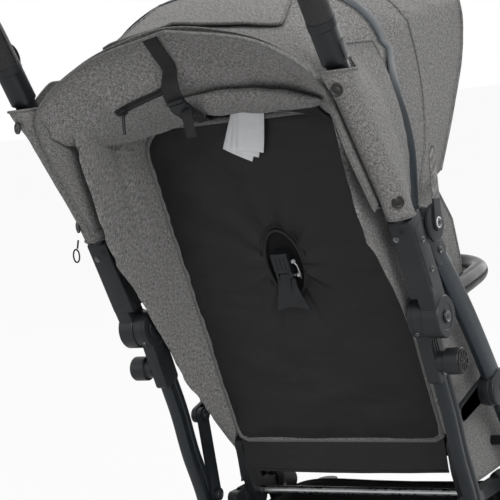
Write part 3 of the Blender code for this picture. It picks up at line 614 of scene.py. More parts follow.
class PUSHCHAIR_OT_finishes(bpy.types.Operator):
    """Makes the materials and gives the carried-over frame pieces theirs"""
    bl_idname = "pushchair.finishes"
    bl_label = "Finishes"

    def execute(self, context):
        cloth, metalwork = context.scene.pushchair_cloth, context.scene.pushchair_frame
        light, dark, black = tuple(cloth.light), tuple(cloth.dark), tuple(metalwork.black)
        FINISHES.update({
            "melange": melange("melange_cloth", light, dark, cloth.weave),
            "melange_pad": melange("melange_padding", light, dark, cloth.weave, "object"),
            "nylon": nylon("black_nylon", tuple(cloth.nylon)),
            "nylon_pad": nylon("black_nylon_padding", tuple(cloth.nylon), "object"),
            "piping": melange("grey_piping", [c * 0.82 for c in light], [c * 0.82 for c in dark], 0.0009,
                              "object"),
            "webbing": webbing("black_webbing", (0.020, 0.020, 0.021)),
            "tape": coated("satin_bow_tape", (0.034, 0.042, 0.049), 0.35, 0.42),
            "plastic": moulded("moulded_black", black),
            "casing": moulded("casing_black", [c * 1.25 for c in black], 0.38),
            "gloss": moulded("glossy_black", (0.006, 0.006, 0.0065), 0.24, 0.05, 0.14),
            "black_tube": coated("black_tube", (0.011, 0.0125, 0.0145), 0.25),
            "grey_tube": coated("leg_coating", (0.019, 0.023, 0.027), 0.35, 0.34),
            "satin": coated("satin_blue_grey", tuple(metalwork.satin), 0.45, 0.30, 0.06),
            "leather": leatherette("grip_leatherette", tuple(metalwork.leather)),
            "steel": metal("plated_steel", (0.42, 0.43, 0.44)),
            "screw": metal("blackened_screw", (0.16, 0.165, 0.17), 0.34),
            "dark_metal": metal("dark_spring_steel", (0.09, 0.092, 0.095), 0.4),
            "hub": moulded("wheel_grey", (0.095, 0.098, 0.102), 0.45),
            "pedal": moulded("pedal_grey", (0.050, 0.050, 0.052), 0.5),
            "tyre": rubber("tyre_rubber", tuple(metalwork.tyre)),
            "board": moulded("stiff_board", (0.009, 0.009, 0.0092), 0.8, 0.2, 0.1),
            "label": paper_tape("white_label_tape"),
            "snap": moulded("snap_dark", (0.013, 0.012, 0.0115), 0.34, 0.1),
        })
        by_start = (("pivot_hub", "casing"), ("push_casing", "casing"), ("hinge_cap", "casing"),
                    ("handle_housing", "plastic"), ("link_bracket", "plastic"), ("front_leg", "casing"),
                    ("front_fork", "plastic"), ("seat_bracket", "plastic"), ("recline_housing", "plastic"),
                    ("recline_lever", "casing"), ("buckle_button", "hub"), ("buckle", "plastic"),
                    ("push_tube", "black_tube"), ("front_tube", "satin"), ("rear_leg", "grey_tube"),
                    ("link_bar", "grey_tube"), ("lateral_rod", "steel"), ("seat_bar", "black_tube"),
                    ("footrest_bar", "black_tube"), ("canopy", "dark_metal"), ("rear_axle", "steel"),
                    ("bow_strap", "casing"), ("fold_button", "hub"), ("rear_wheel_hub", "hub"),
                    ("front_wheel_hub", "hub"), ("brake_pedal", "pedal"), ("rear_tyre", "tyre"),
                    ("front_tyre", "tyre"), ("seat_pan", "board"), ("back_board", "board"),
                    ("handle_grip", "leather"), ("bumper_bar", "gloss"))
        for node in frame["nodes"]:
            obj = bpy.data.objects[node]
            for start, finish in by_start:
                if node.startswith(start):
                    for place in obj.material_slots:
                        place.material = FINISHES[finish]
                    break
        return {'FINISHED'}


# Stage
CAMERA_PLACE = Vector((1.076, -1.92225, 0.858))
CAMERA_YAW, CAMERA_DOWN, CAMERA_ROLL = radians(31), radians(6), radians(-7.37)
CAMERA_LENS = 119.66
LAMPS = (("key", (2.3, -2.2, 2.5), 1.6, 74.0), ("fill", (-2.6, -1.8, 1.4), 2.2, 12.0),
         ("top", (0.2, -0.1, 3.4), 2.0, 44.0), ("front", (0.8, 3.0, 1.6), 2.2, 26.0))
AMBIENT = 0.26


class PUSHCHAIR_OT_stage(bpy.types.Operator):
    """Camera at the photograph's place, soft lamps, pale floor and white surroundings"""
    bl_idname = "pushchair.stage"
    bl_label = "Stage"

    def execute(self, context):
        scene = context.scene
        ahead = Vector((-sin(CAMERA_YAW) * cos(CAMERA_DOWN), cos(CAMERA_YAW) * cos(CAMERA_DOWN),
                        -sin(CAMERA_DOWN)))
        right = Vector((cos(CAMERA_YAW), sin(CAMERA_YAW), 0))
        above = right.cross(ahead)
        across = right * cos(CAMERA_ROLL) + above * sin(CAMERA_ROLL)
        upward = above * cos(CAMERA_ROLL) - right * sin(CAMERA_ROLL)
        data = bpy.data.cameras.new("view")
        data.lens = CAMERA_LENS
        data.sensor_width = 36.0
        camera = bpy.data.objects.new("view", data)
        camera.matrix_world = Matrix.Translation(CAMERA_PLACE) @ Matrix((across, upward,
                                                                         -ahead)).transposed().to_4x4()
        scene.collection.objects.link(camera)
        scene.camera = camera

        middle = Vector((0.0, 0.0, 0.6))
        for name, place, size, power in LAMPS:
            lamp = bpy.data.lights.new(name, 'AREA')
            lamp.shape = 'SQUARE'
            lamp.size = size
            lamp.energy = power
            holder = bpy.data.objects.new(name, lamp)
            holder.location = place
            holder.rotation_euler = (middle - Vector(place)).to_track_quat('-Z', 'Y').to_euler()
            scene.collection.objects.link(holder)

        alone()
        bpy.ops.mesh.primitive_plane_add(size=60.0, location=(0, 0, 0))
        floor = context.object
        floor.name = "floor"
        ground = Finish("pale_floor", (0.86, 0.86, 0.86), 0.9)
        glow = ground.node("Emission", (), {"Color": (1, 1, 1, 1), "Strength": 1.0}).outputs[0]
        seen = ground.node("LightPath").outputs["Is Camera Ray"]
        share = ground.math('MULTIPLY', seen, 0.93)
        mixed = ground.node("MixShader", (), {0: share, 1: ground.shader.outputs[0], 2: glow}).outputs[0]
        ground.tree.links.new(mixed, ground.tree.nodes["Material Output"].inputs["Surface"])
        floor.data.materials.append(ground.material)

        world = bpy.data.worlds.new("surroundings")
        world.use_nodes = True
        scene.world = world
        tree = world.node_tree
        path = tree.nodes.new("ShaderNodeLightPath")
        bright = None
        for ray in ("Is Glossy Ray", "Is Transmission Ray"):
            most = tree.nodes.new("ShaderNodeMath")
            most.operation = 'MAXIMUM'
            tree.links.new(bright if bright else path.outputs["Is Camera Ray"], most.inputs[0])
            tree.links.new(path.outputs[ray], most.inputs[1])
            bright = most.outputs[0]
        level = tree.nodes.new("ShaderNodeMapRange")
        level.inputs["To Min"].default_value = AMBIENT
        level.inputs["To Max"].default_value = 1.0
        tree.links.new(bright, level.inputs["Value"])
        back = tree.nodes["Background"]
        back.inputs["Color"].default_value = (1, 1, 1, 1)
        tree.links.new(level.outputs["Result"], back.inputs["Strength"])
        scene.view_settings.view_transform = 'Standard'
        return {'FINISHED'}


# Cloth surfaces
class Surface:
    """Dense grid of points over a cloth, read at any place on it."""

    def __init__(self, rows, centre):
        self.rows = rows
        self.centre = centre

    def spot(self, s, t):
        n, m = len(self.rows) - 1, len(self.rows[0]) - 1
        a, b = max(0.0, min(n, s * n)), max(0.0, min(m, t * m))
        i, j = min(int(a), n - 1), min(int(b), m - 1)
        p = self.rows[i][j].lerp(self.rows[i][j + 1], b - j)
        q = self.rows[i + 1][j].lerp(self.rows[i + 1][j + 1], b - j)
        return p.lerp(q, a - i)

    def normal(self, s, t):
        d = 0.012
        along = self.spot(s + d, t) - self.spot(s - d, t)
        across = self.spot(s, t + d) - self.spot(s, t - d)
        n = along.cross(across).normalized()
        return n if n.dot(self.spot(s, t) - self.centre) > 0 else -n

    def at(self, s, t, lift=0.0):
        return self.spot(s, t) + self.normal(s, t) * lift

    def column_at(self, s, x):
        """The column whose point in row s stands at x."""
        low, high = 0.0, 1.0
        for _ in range(22):
            middle = (low + high) / 2
            if self.spot(s, middle).x > x:
                low = middle
            else:
                high = middle
        return low


def cloth_sheet(rows):
    """Works out the widest row and the longest column of a sheet; nothing is kept."""
    wide = max(sum((b - a).length for a, b in zip(row, row[1:])) for row in rows)
    long = max(sum((b[j] - a[j]).length for a, b in zip(rows, rows[1:])) for j in range(len(rows[0])))


def strip(name, centres, normals, width, thickness, steps=6, crown=0.0, offset=0.0):
    """Flat band along a line, lying square to the normals."""
    rows, last = [], len(centres) - 1
    for i, (p, n) in enumerate(zip(centres, normals)):
        t = (centres[min(i + 1, last)] - centres[max(i - 1, 0)]).normalized()
        side = t.cross(n).normalized()
        up = side.cross(t).normalized()
        w = width(i / last) if callable(width) else width
        rows.append([p + side * w * (k / steps - 0.5) + up * crown * (1 - (2 * k / steps - 1) ** 2)
                     for k in range(steps + 1)])
    obj = grid_mesh(name, rows)
    modify(obj, 'SOLIDIFY', thickness=thickness, offset=offset)
    modify(obj, 'BEVEL', width=thickness * 0.3, segments=1, limit_method='ANGLE', angle_limit=radians(50))
    return smooth(obj, 60)


# The outer tape of the middle bow, down the front of the side sleeves: (height, y), at one distance from the middle
TAPE_X = 0.2155
CANOPY_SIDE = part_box("canopy_front_bow")[1].x + 0.0016
TAPE_LINE = ((0.131, -0.0180), (0.165, -0.0105), (0.205, -0.0040), (0.246, -0.0095), (0.284, -0.0240),
             (0.314, -0.0430), (0.340, -0.0620))


def table(pairs, z):
    """Value at z from (z, value) pairs."""
    for (z0, a), (z1, b) in zip(pairs, pairs[1:]):
        if z <= z1:
            return a + (b - a) * max(0.0, (z - z0) / (z1 - z0))
    return pairs[-1][1]


def canopy_surface():
    """The canopy's outer face: a loft through the hoops that dips a little between them."""
    half, count = 52, 84
    centre = at(0, 0.05, 0.15)
    hoops = [mirrored([at(*p) for p in smooth_line(hoop, half)]) for hoop in HOOPS]
    columns, marks = [], []
    for j in range(len(hoops[0])):
        knots = [hoop[j] for hoop in hoops]
        spans = [(b - a).length for a, b in zip(knots, knots[1:])]
        total = sum(spans)
        marks.append((0.0, spans[0] / total, (spans[0] + spans[1]) / total, 1.0, total))
        columns.append(smooth_line(knots, count))
    plain = Surface([[column[i] for column in columns] for i in range(count)], centre)
    rows = []
    for i in range(count):
        s, row = i / (count - 1), []
        for j in range(len(columns)):
            t = j / (len(columns) - 1)
            low, a, b, high, total = marks[j]
            start, end = (low, a) if s < a else (a, b) if s < b else (b, high)
            f = (s - start) / max(end - start, 1e-6)
            span = (end - start) * total
            p = plain.spot(s, t)
            free = sin(pi * f)
            dip = 0.034 * span * free
            pull = 0.0022 * free * bump_noise((p.x * 0.5, p.y * 1.6, p.z * 0.6), 15, 3.0)
            fine = 0.0007 * (0.3 + free) * bump_noise(p, 52, 8.0)
            q = p + plain.normal(s, t) * (pull + fine - dip)
            if abs(p.x) > 0.199:
                q.x = copysign(max(abs(q.x), CANOPY_SIDE), q.x)
            row.append(q)
        rows.append(row)
    surface = Surface(rows, centre)
    surface.marks = marks
    surface.mark = lambda t, k: marks[min(len(marks) - 1, int(t * (len(marks) - 1) + 0.5))][k]
    return surface


def follow_canopy(obj):
    """Bakes the piece's place into its mesh."""
    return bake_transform(obj)


class PUSHCHAIR_OT_canopy(bpy.types.Operator):
    """Melange canopy with its hem, seams, corded front edge, rear flap and outer bow tape"""
    bl_idname = "pushchair.canopy"
    bl_label = "Canopy"

    def execute(self, context):
        settings = context.scene.pushchair_cloth
        surface = canopy_surface()
        rows = surface.rows
        last = len(rows) - 1
        columns = len(rows[0])
        steps = [j / (columns - 1) for j in range(columns)]

        cloth = facing(grid_mesh("canopy_cloth", rows), surface.centre)
        modify(cloth, 'SOLIDIFY', thickness=settings.thickness, offset=-1.0)
        paint(smooth(cloth, 70), FINISHES["melange"], "fabric_grey")
        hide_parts("canopy_shell")

        def band(name, place, width, thickness, lift, material, slot="fabric_grey"):
            spots = [place(t) for t in steps]
            made = strip(name, [surface.at(s, t, lift) for s, t in zip(spots, steps)],
                         [surface.normal(s, t) for s, t in zip(spots, steps)], width, thickness)
            return paint(made, FINISHES[material], slot)

        hem = band("canopy_hem", lambda t: 0.5 * settings.hem / surface.mark(t, 4), settings.hem, 0.0015,
                   0.0007,
                   "melange")
        seam = band("canopy_seam", lambda t: surface.mark(t, 2), 0.0100, 0.0012, 0.0006, "melange")
        inner_seam = band("canopy_mid_seam", lambda t: surface.mark(t, 1) + 0.10 * (surface.mark(t, 2)
                                                                                - surface.mark(t, 1)),
                          0.0240, 0.0012, 0.0005, "melange")
        cords = [tube("hem_cord", [surface.at(0.0, t, 0.0006) for t in steps], 0.0019, 8),
                 tube("seam_cord", [surface.at(surface.mark(t, 2) - 0.012, t, 0.0008) for t in steps], 0.0012,
                      6),
                 tube("front_cord", [surface.at(1.0, t, 0.0) for t in steps], settings.piping, 10)]
        for t in (0.0, 1.0):
            cords.append(tube("side_cord", [surface.at(i / last, t, 0.0) for i in range(last + 1)], 0.0017,
                              8))
        piping = paint(joined("canopy_piping", cords), FINISHES["piping"], "fabric_grey")

        # rear flap, wider at its lower edge, with rounded corners
        flap_rows = []
        across, down = 44, 20
        for i in range(down + 1):
            v = i / down
            corner = max(0.0, 1 - v / 0.14)
            half = 0.129 - 0.030 * v - 0.024 * (1 - sqrt(1 - corner * corner))
            row = []
            for k in range(across + 1):
                x = half * (1 - 2 * k / across)
                low = 0.026 + 0.026 * (x / 0.12) ** 2
                probe = surface.column_at(0.15, x)
                total, top = surface.mark(probe, 4), surface.mark(probe, 1)
                s = low / total + (top - low / total) * v
                t = surface.column_at(s, x)
                lift = 0.0022 + 0.0030 * (1 - v) ** 3 + 0.0010 * bump_noise((x, 0.0, v * 0.1), 30, 5.0)
                row.append(surface.at(s, t, lift))
            flap_rows.append(row)
        flap = facing(grid_mesh("canopy_flap", flap_rows), surface.centre)
        wall(flap, 0.0018, -1.0, 0)
        paint(flap, FINISHES["melange"], "fabric_grey")
        edge = [row[0] for row in reversed(flap_rows)] + flap_rows[0][1:-1] + [row[-1] for row in flap_rows]
        binding = paint(tube("flap_binding", edge, 0.0021, 8), FINISHES["piping"], "fabric_grey")

        # outer tape of the middle bow, from one strap over the dome to the other
        tape_w = 0.0170
        lower = [Vector((TAPE_X, y, z)) for z, y in TAPE_LINE if z < 0.300]
        dome = []
        for t in steps:
            s = surface.mark(t, 1) + 0.06 * (surface.mark(t, 2) - surface.mark(t, 1))
            p = surface.at(s, t, 0.0022)
            if p.z - MAIN.z > 0.322:
                dome.append((p, surface.normal(s, t)))
        side = smooth_line([at(*p) for p in lower] + [dome[0][0], dome[1][0]], 24)[:-2]
        centres = side + [p for p, _ in dome]
        normals = [Vector((1, -0.80, 0.10)).lerp(dome[0][1], i / len(side)) for i in range(len(side))]
        normals += [n for _, n in dome]
        centres += [Vector((-p.x, p.y, p.z)) for p in reversed(side)]
        normals += [Vector((-n.x, n.y, n.z)) for n in reversed(normals[:len(side)])]
        tape = paint(strip("canopy_tape", centres, normals, tape_w, 0.0016, 6, 0.0006), FINISHES["tape"],
                     "nylon_black")

        for piece in (cloth, hem, seam, inner_seam, piping, flap, binding, tape):
            follow_canopy(piece)
        cloth_sheet(rows)
        cloth_sheet(flap_rows)
        return {'FINISHED'}


def route_y(z, route):
    """The y of a side route at height z."""
    for (y0, z0), (y1, z1) in zip(route, route[1:]):
        if min(z0, z1) <= z <= max(z0, z1):
            return y0 + (y1 - y0) * (z - z0) / (z1 - z0)
    return route[0][0] if abs(z - route[0][1]) < abs(z - route[-1][1]) else route[-1][0]


class PUSHCHAIR_OT_sleeves(bpy.types.Operator):
    """Cloth sleeves of the canopy round both push tubes, with their press studs"""
    bl_idname = "pushchair.sleeves"
    bl_label = "Side sleeves"

    def execute(self, context):
        for tag, side in SIDES:
            rows = []
            heights = [0.134 + (0.314 - 0.134) * i / 34 for i in range(35)]
            for i, z in enumerate(heights):
                yc = route_y(z, PUSH_ROUTE)
                yt = table(TAPE_LINE, z)
                flare = ease((z - 0.272) / 0.04) * 0.010
                droop = 0.004 * ease((0.16 - z) / 0.03)
                mid = (yc + yt) / 2
                ring = [(0.2048, yt + 0.003), (0.2090, yt + 0.0065), (0.2140, yt + 0.0040),
                        (0.2165, yt - 0.008),
                        (0.2245, mid + 0.010), (0.2335, mid - 0.010),
                        (0.2372, yc + 0.006), (0.2372 + flare * 0.2, yc - 0.008 - flare * 0.5),
                        (0.2300, yc - 0.0185 - flare), (0.2205, yc - 0.0215 - flare - droop),
                        (0.2110, yc - 0.0185 - flare), (0.2052, yc - 0.008 - flare * 0.5),
                        (0.2050, yc + 0.010),
                        (0.2046, mid), (0.2044, yt - 0.006)]
                loop = smooth_line([(x, y, 0.0) for x, y in ring + ring[:1]], 65)[:-1]
                row = []
                for p in loop:
                    out = ease((p.x - 0.207) / 0.008)
                    ahead = ease((p.y - yc - 0.010) / 0.05) * out
                    crease = 0.0011 * out * bump_noise((p.y * 0.6, z * 1.3, p.x), 42, 4.0 + side)
                    hollow = 0.0030 * out * sin(pi * max(0.0, min(1.0, (yt - p.y) / max(yt - yc, 1e-4)))) ** 2
                    merge = ease((z - 0.262) / 0.052) * ahead
                    x = p.x + crease - hollow
                    x += (min(x, 0.2075) - x) * merge * 0.9
                    rise = 0.030 * ahead * ease((z - 0.240) / 0.074)
                    row.append(at(side * x, p.y + 0.4 * crease - rise * 0.55, z + rise
                                  + 0.0030 * out * sin((p.y - yc) * 40) * ease((0.17 - z) / 0.03)))
                rows.append(row)
            sleeve = grid_mesh("sleeve_" + tag, rows, loop=True, flip=side < 0)
            facing(sleeve, sum((row[0] + row[32] for row in rows), Vector()) / (2 * len(rows)))
            wall(sleeve, 0.0012, -1.0, 0)
            paint(sleeve, FINISHES["melange"], "fabric_grey")
            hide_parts("side_sleeve_" + tag)
            hems = [tube("lower_hem", rows[0] + rows[0][:1], 0.0016, 8, caps=False),
                    tube("upper_hem", rows[-1] + rows[-1][:1], 0.0017, 8, caps=False),
                    tube("front_hem", [row[0] for row in rows], 0.0012, 6)]
            binding = paint(joined("sleeve_binding_" + tag, hems), FINISHES["piping"], "fabric_grey")
            studs = []
            for y, z, x, facing_to in ((-0.1950, 0.2930, 0.2250, (0.45, -1.0, 0.1)),
                                       (-0.0895, 0.1530, 0.2325, (0.62, -0.8, 0.0))):
                studs.append(stud(at(side * x, y, z), Vector((side * facing_to[0], *facing_to[1:]))))
            pocket = bar("strap_pocket_" + tag,
                         [at(side * 0.2430, y, z) for y, z in ((-0.0062, 0.146), (-0.0040, 0.178),
                                                                                    (-0.0018, 0.213))],
                         lambda t: 0.0066 - 0.0045 * ease((t - 0.7) / 0.3), lambda t: 0.0200 - 0.0080 * t,
                         (1, 0, 0), 24, 24)
            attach(paint(pocket, FINISHES["melange_pad"], "fabric_grey"), "canopy_mid")
            snaps = paint(joined("sleeve_studs_" + tag, studs), FINISHES["snap"], "frame_black")
            for piece in (sleeve, binding, snaps):
                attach(piece, "push_bar")
            closed = [row + row[:1] for row in rows]
            cloth_sheet(closed)
        return {'FINISHED'}


def stud(place, direction, radius=0.0076):
    """Press stud: a dished cap with a rolled rim."""
    alone()
    bpy.ops.mesh.primitive_cylinder_add(vertices=28, radius=radius, depth=0.0022)
    obj = bpy.context.object
    edit(obj)
    choose(obj, lambda f: f.normal.z > 0.9)
    bpy.ops.mesh.inset(thickness=radius * 0.28, depth=0.0)
    bpy.ops.mesh.inset(thickness=radius * 0.12, depth=-0.0007)
    bpy.ops.mesh.inset(thickness=radius * 0.25, depth=0.0005)
    leave(obj)
    modify(obj, 'BEVEL', width=0.0004, segments=2, limit_method='ANGLE', angle_limit=radians(40))
    obj.matrix_world = Matrix.Translation(place) @ direction.to_track_quat('Z', 'Y').to_matrix().to_4x4()
    return smooth(settle(obj), 40)


class PUSHCHAIR_OT_drape(bpy.types.Operator):
    """Rear drop panel under the canopy's hem, half rolled up, with its zip, strap and side-release buckle"""
    bl_idname = "pushchair.drape"
    bl_label = "Drop panel"

    def execute(self, context):
        top_line = [(0.2010, -0.178, 0.300), (0.179, -0.1810, 0.328), (0.126, -0.1800, 0.361),
                    (0.060, -0.1785, 0.381),
                    (0.0, -0.1775, 0.3890), (-0.060, -0.1785, 0.381), (-0.126, -0.1800, 0.361),
                    (-0.179, -0.1810, 0.328), (-0.2010, -0.178, 0.300)]
        middle = [(0.200, -0.158, 0.278), (0.176, -0.130, 0.290), (0.126, -0.118, 0.309),
                  (0.060, -0.122, 0.321),
                  (0.0, -0.128, 0.321), (-0.060, -0.130, 0.316), (-0.120, -0.132, 0.302),
                  (-0.176, -0.140, 0.286),
                  (-0.200, -0.160, 0.276)]
        bottom = [(0.196, -0.112, 0.252), (0.165, -0.072, 0.252), (0.118, -0.048, 0.262),
                  (0.060, -0.036, 0.272),
                  (0.0, -0.034, 0.276), (-0.060, -0.036, 0.274), (-0.112, -0.048, 0.262),
                  (-0.165, -0.084, 0.254),
                  (-0.197, -0.120, 0.260)]
        lines = [smooth_line(line, 73) for line in (top_line, middle, bottom)]
        columns = []
        for j in range(73):
            a, b, c = (line[j] for line in lines)
            q = b.lerp((a + c) / 2, -0.10)
            column = smooth_line([a, a.lerp(q, 0.5) + Vector((0, 0.006, -0.002)), q,
                                  q.lerp(c, 0.55) + Vector((0, 0.0, -0.004)), c], 34)
            columns.append([at(*p) for p in column])
        rows = []
        for i in range(34):
            v, row = i / 33, []
            for j, column in enumerate(columns):
                p = column[i]
                fall = 0.0050 * sin(pi * v) * bump_noise((p.x * 1.7, 0.0, v * 0.05), 17, 2.0)
                crush = 0.0022 * ease(v / 0.2) * bump_noise(p, 46, 6.0)
                row.append(p + Vector((0, -0.8, -0.6)) * (fall + crush))
            rows.append(row)
        above = at(0, 0.15, 0.60)
        drape = facing(grid_mesh("drop_panel", rows), above)
        wall(drape, 0.0013, -1.0, 0)
        paint(drape, FINISHES["melange"], "fabric_grey")
        surface = Surface(rows, above)

        def on_drape(s, x, lift):
            return surface.at(s, surface.column_at(s, x), lift)

        # rolled part, held up by the strap: a flattened roll with folds
        roll_rows = []
        for i in range(49):
            u = i / 48
            x = -0.062 + 0.232 * u
            s = 0.60 + 0.06 * sin(pi * u)
            swell = sin(pi * min(1.0, max(0.0, u * 1.04 - 0.02))) ** 0.45
            base = on_drape(s, x, 0.004)
            n = surface.normal(s, surface.column_at(s, x))
            along = Vector((0, 0.86, -0.5))
            row = []
            for k in range(24):
                a = 2 * pi * k / 24
                wrinkle = 1 + 0.16 * bump_noise((u * 0.9, cos(a) * 0.03, sin(a) * 0.03), 9, 7.0)
                row.append(base + n * (0.0105 * swell * wrinkle * (sin(a) + 0.55))
                           + along * (0.0270 * swell * wrinkle * cos(a)))
            roll_rows.append(row)
        roll = grid_mesh("drop_panel_roll", roll_rows, loop=True)
        modify(roll, 'SUBSURF', levels=1, render_levels=1)
        mesh = bmesh.new()
        mesh.from_mesh(roll.data)
        bmesh.ops.holes_fill(mesh, edges=[e for e in mesh.edges if e.is_boundary], sides=0)
        bmesh.ops.recalc_face_normals(mesh, faces=mesh.faces)
        mesh.to_mesh(roll.data)
        mesh.free()
        paint(smooth(roll, 80), FINISHES["melange"], "fabric_grey")

        # painted shade: a black band just under the roll, where the roll turns under; and the zip with its slider
        def lay_band(name, x0, x1, s0, s1, lift, width, thickness, count=44, steps=4):
            """Band that follows the panel in both directions; also gives its line and normals."""
            line, normals, band_rows = [], [], []
            for k in range(count):
                f = k / (count - 1)
                s, x = s0 + (s1 - s0) * f, x0 + (x1 - x0) * f
                column = surface.column_at(s, x)
                n = surface.normal(s, column)
                step = (s1 - s0) / count
                run = surface.spot(s + step, surface.column_at(s + step, x + (x1 - x0) / count)) - surface.spot(s, column)
                side = run.cross(n).normalized()
                down = (surface.spot(s + 0.01, column) - surface.spot(s - 0.01, column)) / 0.02
                ds = side.dot(down) / down.length_squared
                up = lift(f) if callable(lift) else lift
                row = []
                for m in range(steps + 1):
                    w = width * (m / steps - 0.5)
                    row.append(surface.at(s + ds * w, surface.column_at(s + ds * w, x + side.x * w), up))
                band_rows.append(row)
                line.append(on_drape(s, x, up))
                normals.append(n)
            band = facing(grid_mesh(name, band_rows), above)
            modify(band, 'SOLIDIFY', thickness=thickness, offset=1.0)
            return smooth(band, 60), line, normals

        # Black nylon band laid just under the roll: painted shade where the roll turns under.
        roll_shade_band, _, _ = lay_band("drop_panel_roll_shade", -0.055, 0.150, 0.80, 0.84, 0.0020, 0.030, 0.0020, 60, 8)
        paint(roll_shade_band, FINISHES["nylon"], "nylon_black")
        tape, zip_line, zip_normals = lay_band("zip_tape", -0.118, -0.024, 0.50, 0.42, 0.0012, 0.0110, 0.0010)
        paint(tape, FINISHES["webbing"], "nylon_black")
        teeth = paint(tube("zip_teeth", [p + n * 0.0016 for p, n in zip(zip_line, zip_normals)], 0.0017, 8),
                      FINISHES["plastic"], "frame_black")
        slider = block_at("zip_slider", zip_line[4] + zip_normals[4] * 0.0035, (0.0095, 0.0075, 0.0045),
                          zip_line[6] - zip_line[3], zip_normals[4])
        pull_top = zip_line[4] + zip_normals[4] * 0.0060
        pull = tube("zip_pull", [pull_top, pull_top + Vector((0.001, -0.004, -0.005)),
                                 pull_top + Vector((0.002, -0.008, -0.026))], 0.0021, 8, 10)
        hardware = paint(joined("zip_hardware", [slider, pull]), FINISHES["plastic"], "frame_black")

        # strap over the roll with its side-release buckle and loose tail
        over = lambda f: 0.0030 + 0.0200 * ease((f - 0.34) / 0.16) * ease((1.0 - f) / 0.16)
        strap, line, normals = lay_band("roll_strap", -0.026, -0.012, 0.015, 0.84, over, 0.0200, 0.0016, 60,
                                        6)
        tail_line = smooth_line([line[36] + Vector((0.004, -0.009, 0.004)),
                                 line[36] + Vector((0.010, -0.018, -0.008)),
                                 line[36] + Vector((0.013, -0.018, -0.034))], 14)
        tail = strip("strap_tail", tail_line, [Vector((0.2, -1.0, 0.2))] * 14, 0.0130, 0.0012, 4)
        straps = paint(joined("roll_straps", [strap, tail]), FINISHES["webbing"], "nylon_black")
        fastener = side_release("roll_buckle", line[33] + normals[33].normalized() * 0.0050,
                                line[35] - line[31], normals[33])
        paint(fastener, FINISHES["plastic"], "frame_black")

        for piece in (drape, roll, roll_shade_band, tape, teeth, hardware, straps, fastener):
            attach(piece, "front_frame")
            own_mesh(piece)
        cloth_sheet(rows)
        return {'FINISHED'}


def block_at(name, place, size, along, up, bevel=0.0009):
    """Small rounded block, long along one direction and thin along the other."""
    alone()
    bpy.ops.mesh.primitive_cube_add(size=1.0)
    obj = bpy.context.object
    obj.name = name
    y = along.normalized()
    z = (up - y * up.dot(y)).normalized()
    obj.matrix_world = Matrix.Translation(place) @ Matrix((y.cross(z), y, z)).transposed().to_4x4() \
        @ Matrix.Diagonal((*size, 1.0))
    settle(obj)
    modify(obj, 'BEVEL', width=bevel, segments=3, limit_method='ANGLE', angle_limit=radians(40))
    return smooth(obj, 40)


def side_release(name, place, along, up):
    """Side-release buckle: body with a raised rim, two finger latches and a ladder bar."""
    y = along.normalized()
    z = (up - y * up.dot(y)).normalized()
    x = y.cross(z)
    parts = [block_at("body", place, (0.0230, 0.0240, 0.0064), y, z, 0.0018),
             block_at("face", place + z * 0.0026, (0.0170, 0.0170, 0.0030), y, z, 0.0012),
             block_at("bar", place - y * 0.0150, (0.0230, 0.0045, 0.0050), y, z, 0.0012),
             block_at("bar", place + y * 0.0155, (0.0230, 0.0045, 0.0050), y, z, 0.0012)]
    for k in (-1, 1):
        parts.append(block_at("latch", place + x * k * 0.0118 + y * 0.001, (0.0034, 0.0130, 0.0048), y, z,
                              0.0012))
        parts.append(block_at("arm", place + x * k * 0.0100 + y * 0.0100, (0.0028, 0.0120, 0.0046), y, z,
                              0.0010))
    return joined(name, parts)


# Seat
def lay_out(obj, place):
    """Writes cloth coordinates from each point's place."""
    layer = obj.data.uv_layers.get("cloth") or obj.data.uv_layers.new(name="cloth")
    spots = [place(v.co) for v in obj.data.vertices]
    for loop in obj.data.loops:
        layer.data[loop.index].uv = spots[loop.vertex_index]
    return obj


def up_back(p):
    """How far up the backrest a point lies."""
    k = sqrt(1 + BACK_SLOPE * BACK_SLOPE)
    return (p.y - MAIN.y - RECLINE.y) * BACK_SLOPE / k + (p.z - MAIN.z - RECLINE.z) / k


OPENING = (0.2850, 0.0270, 0.0480)


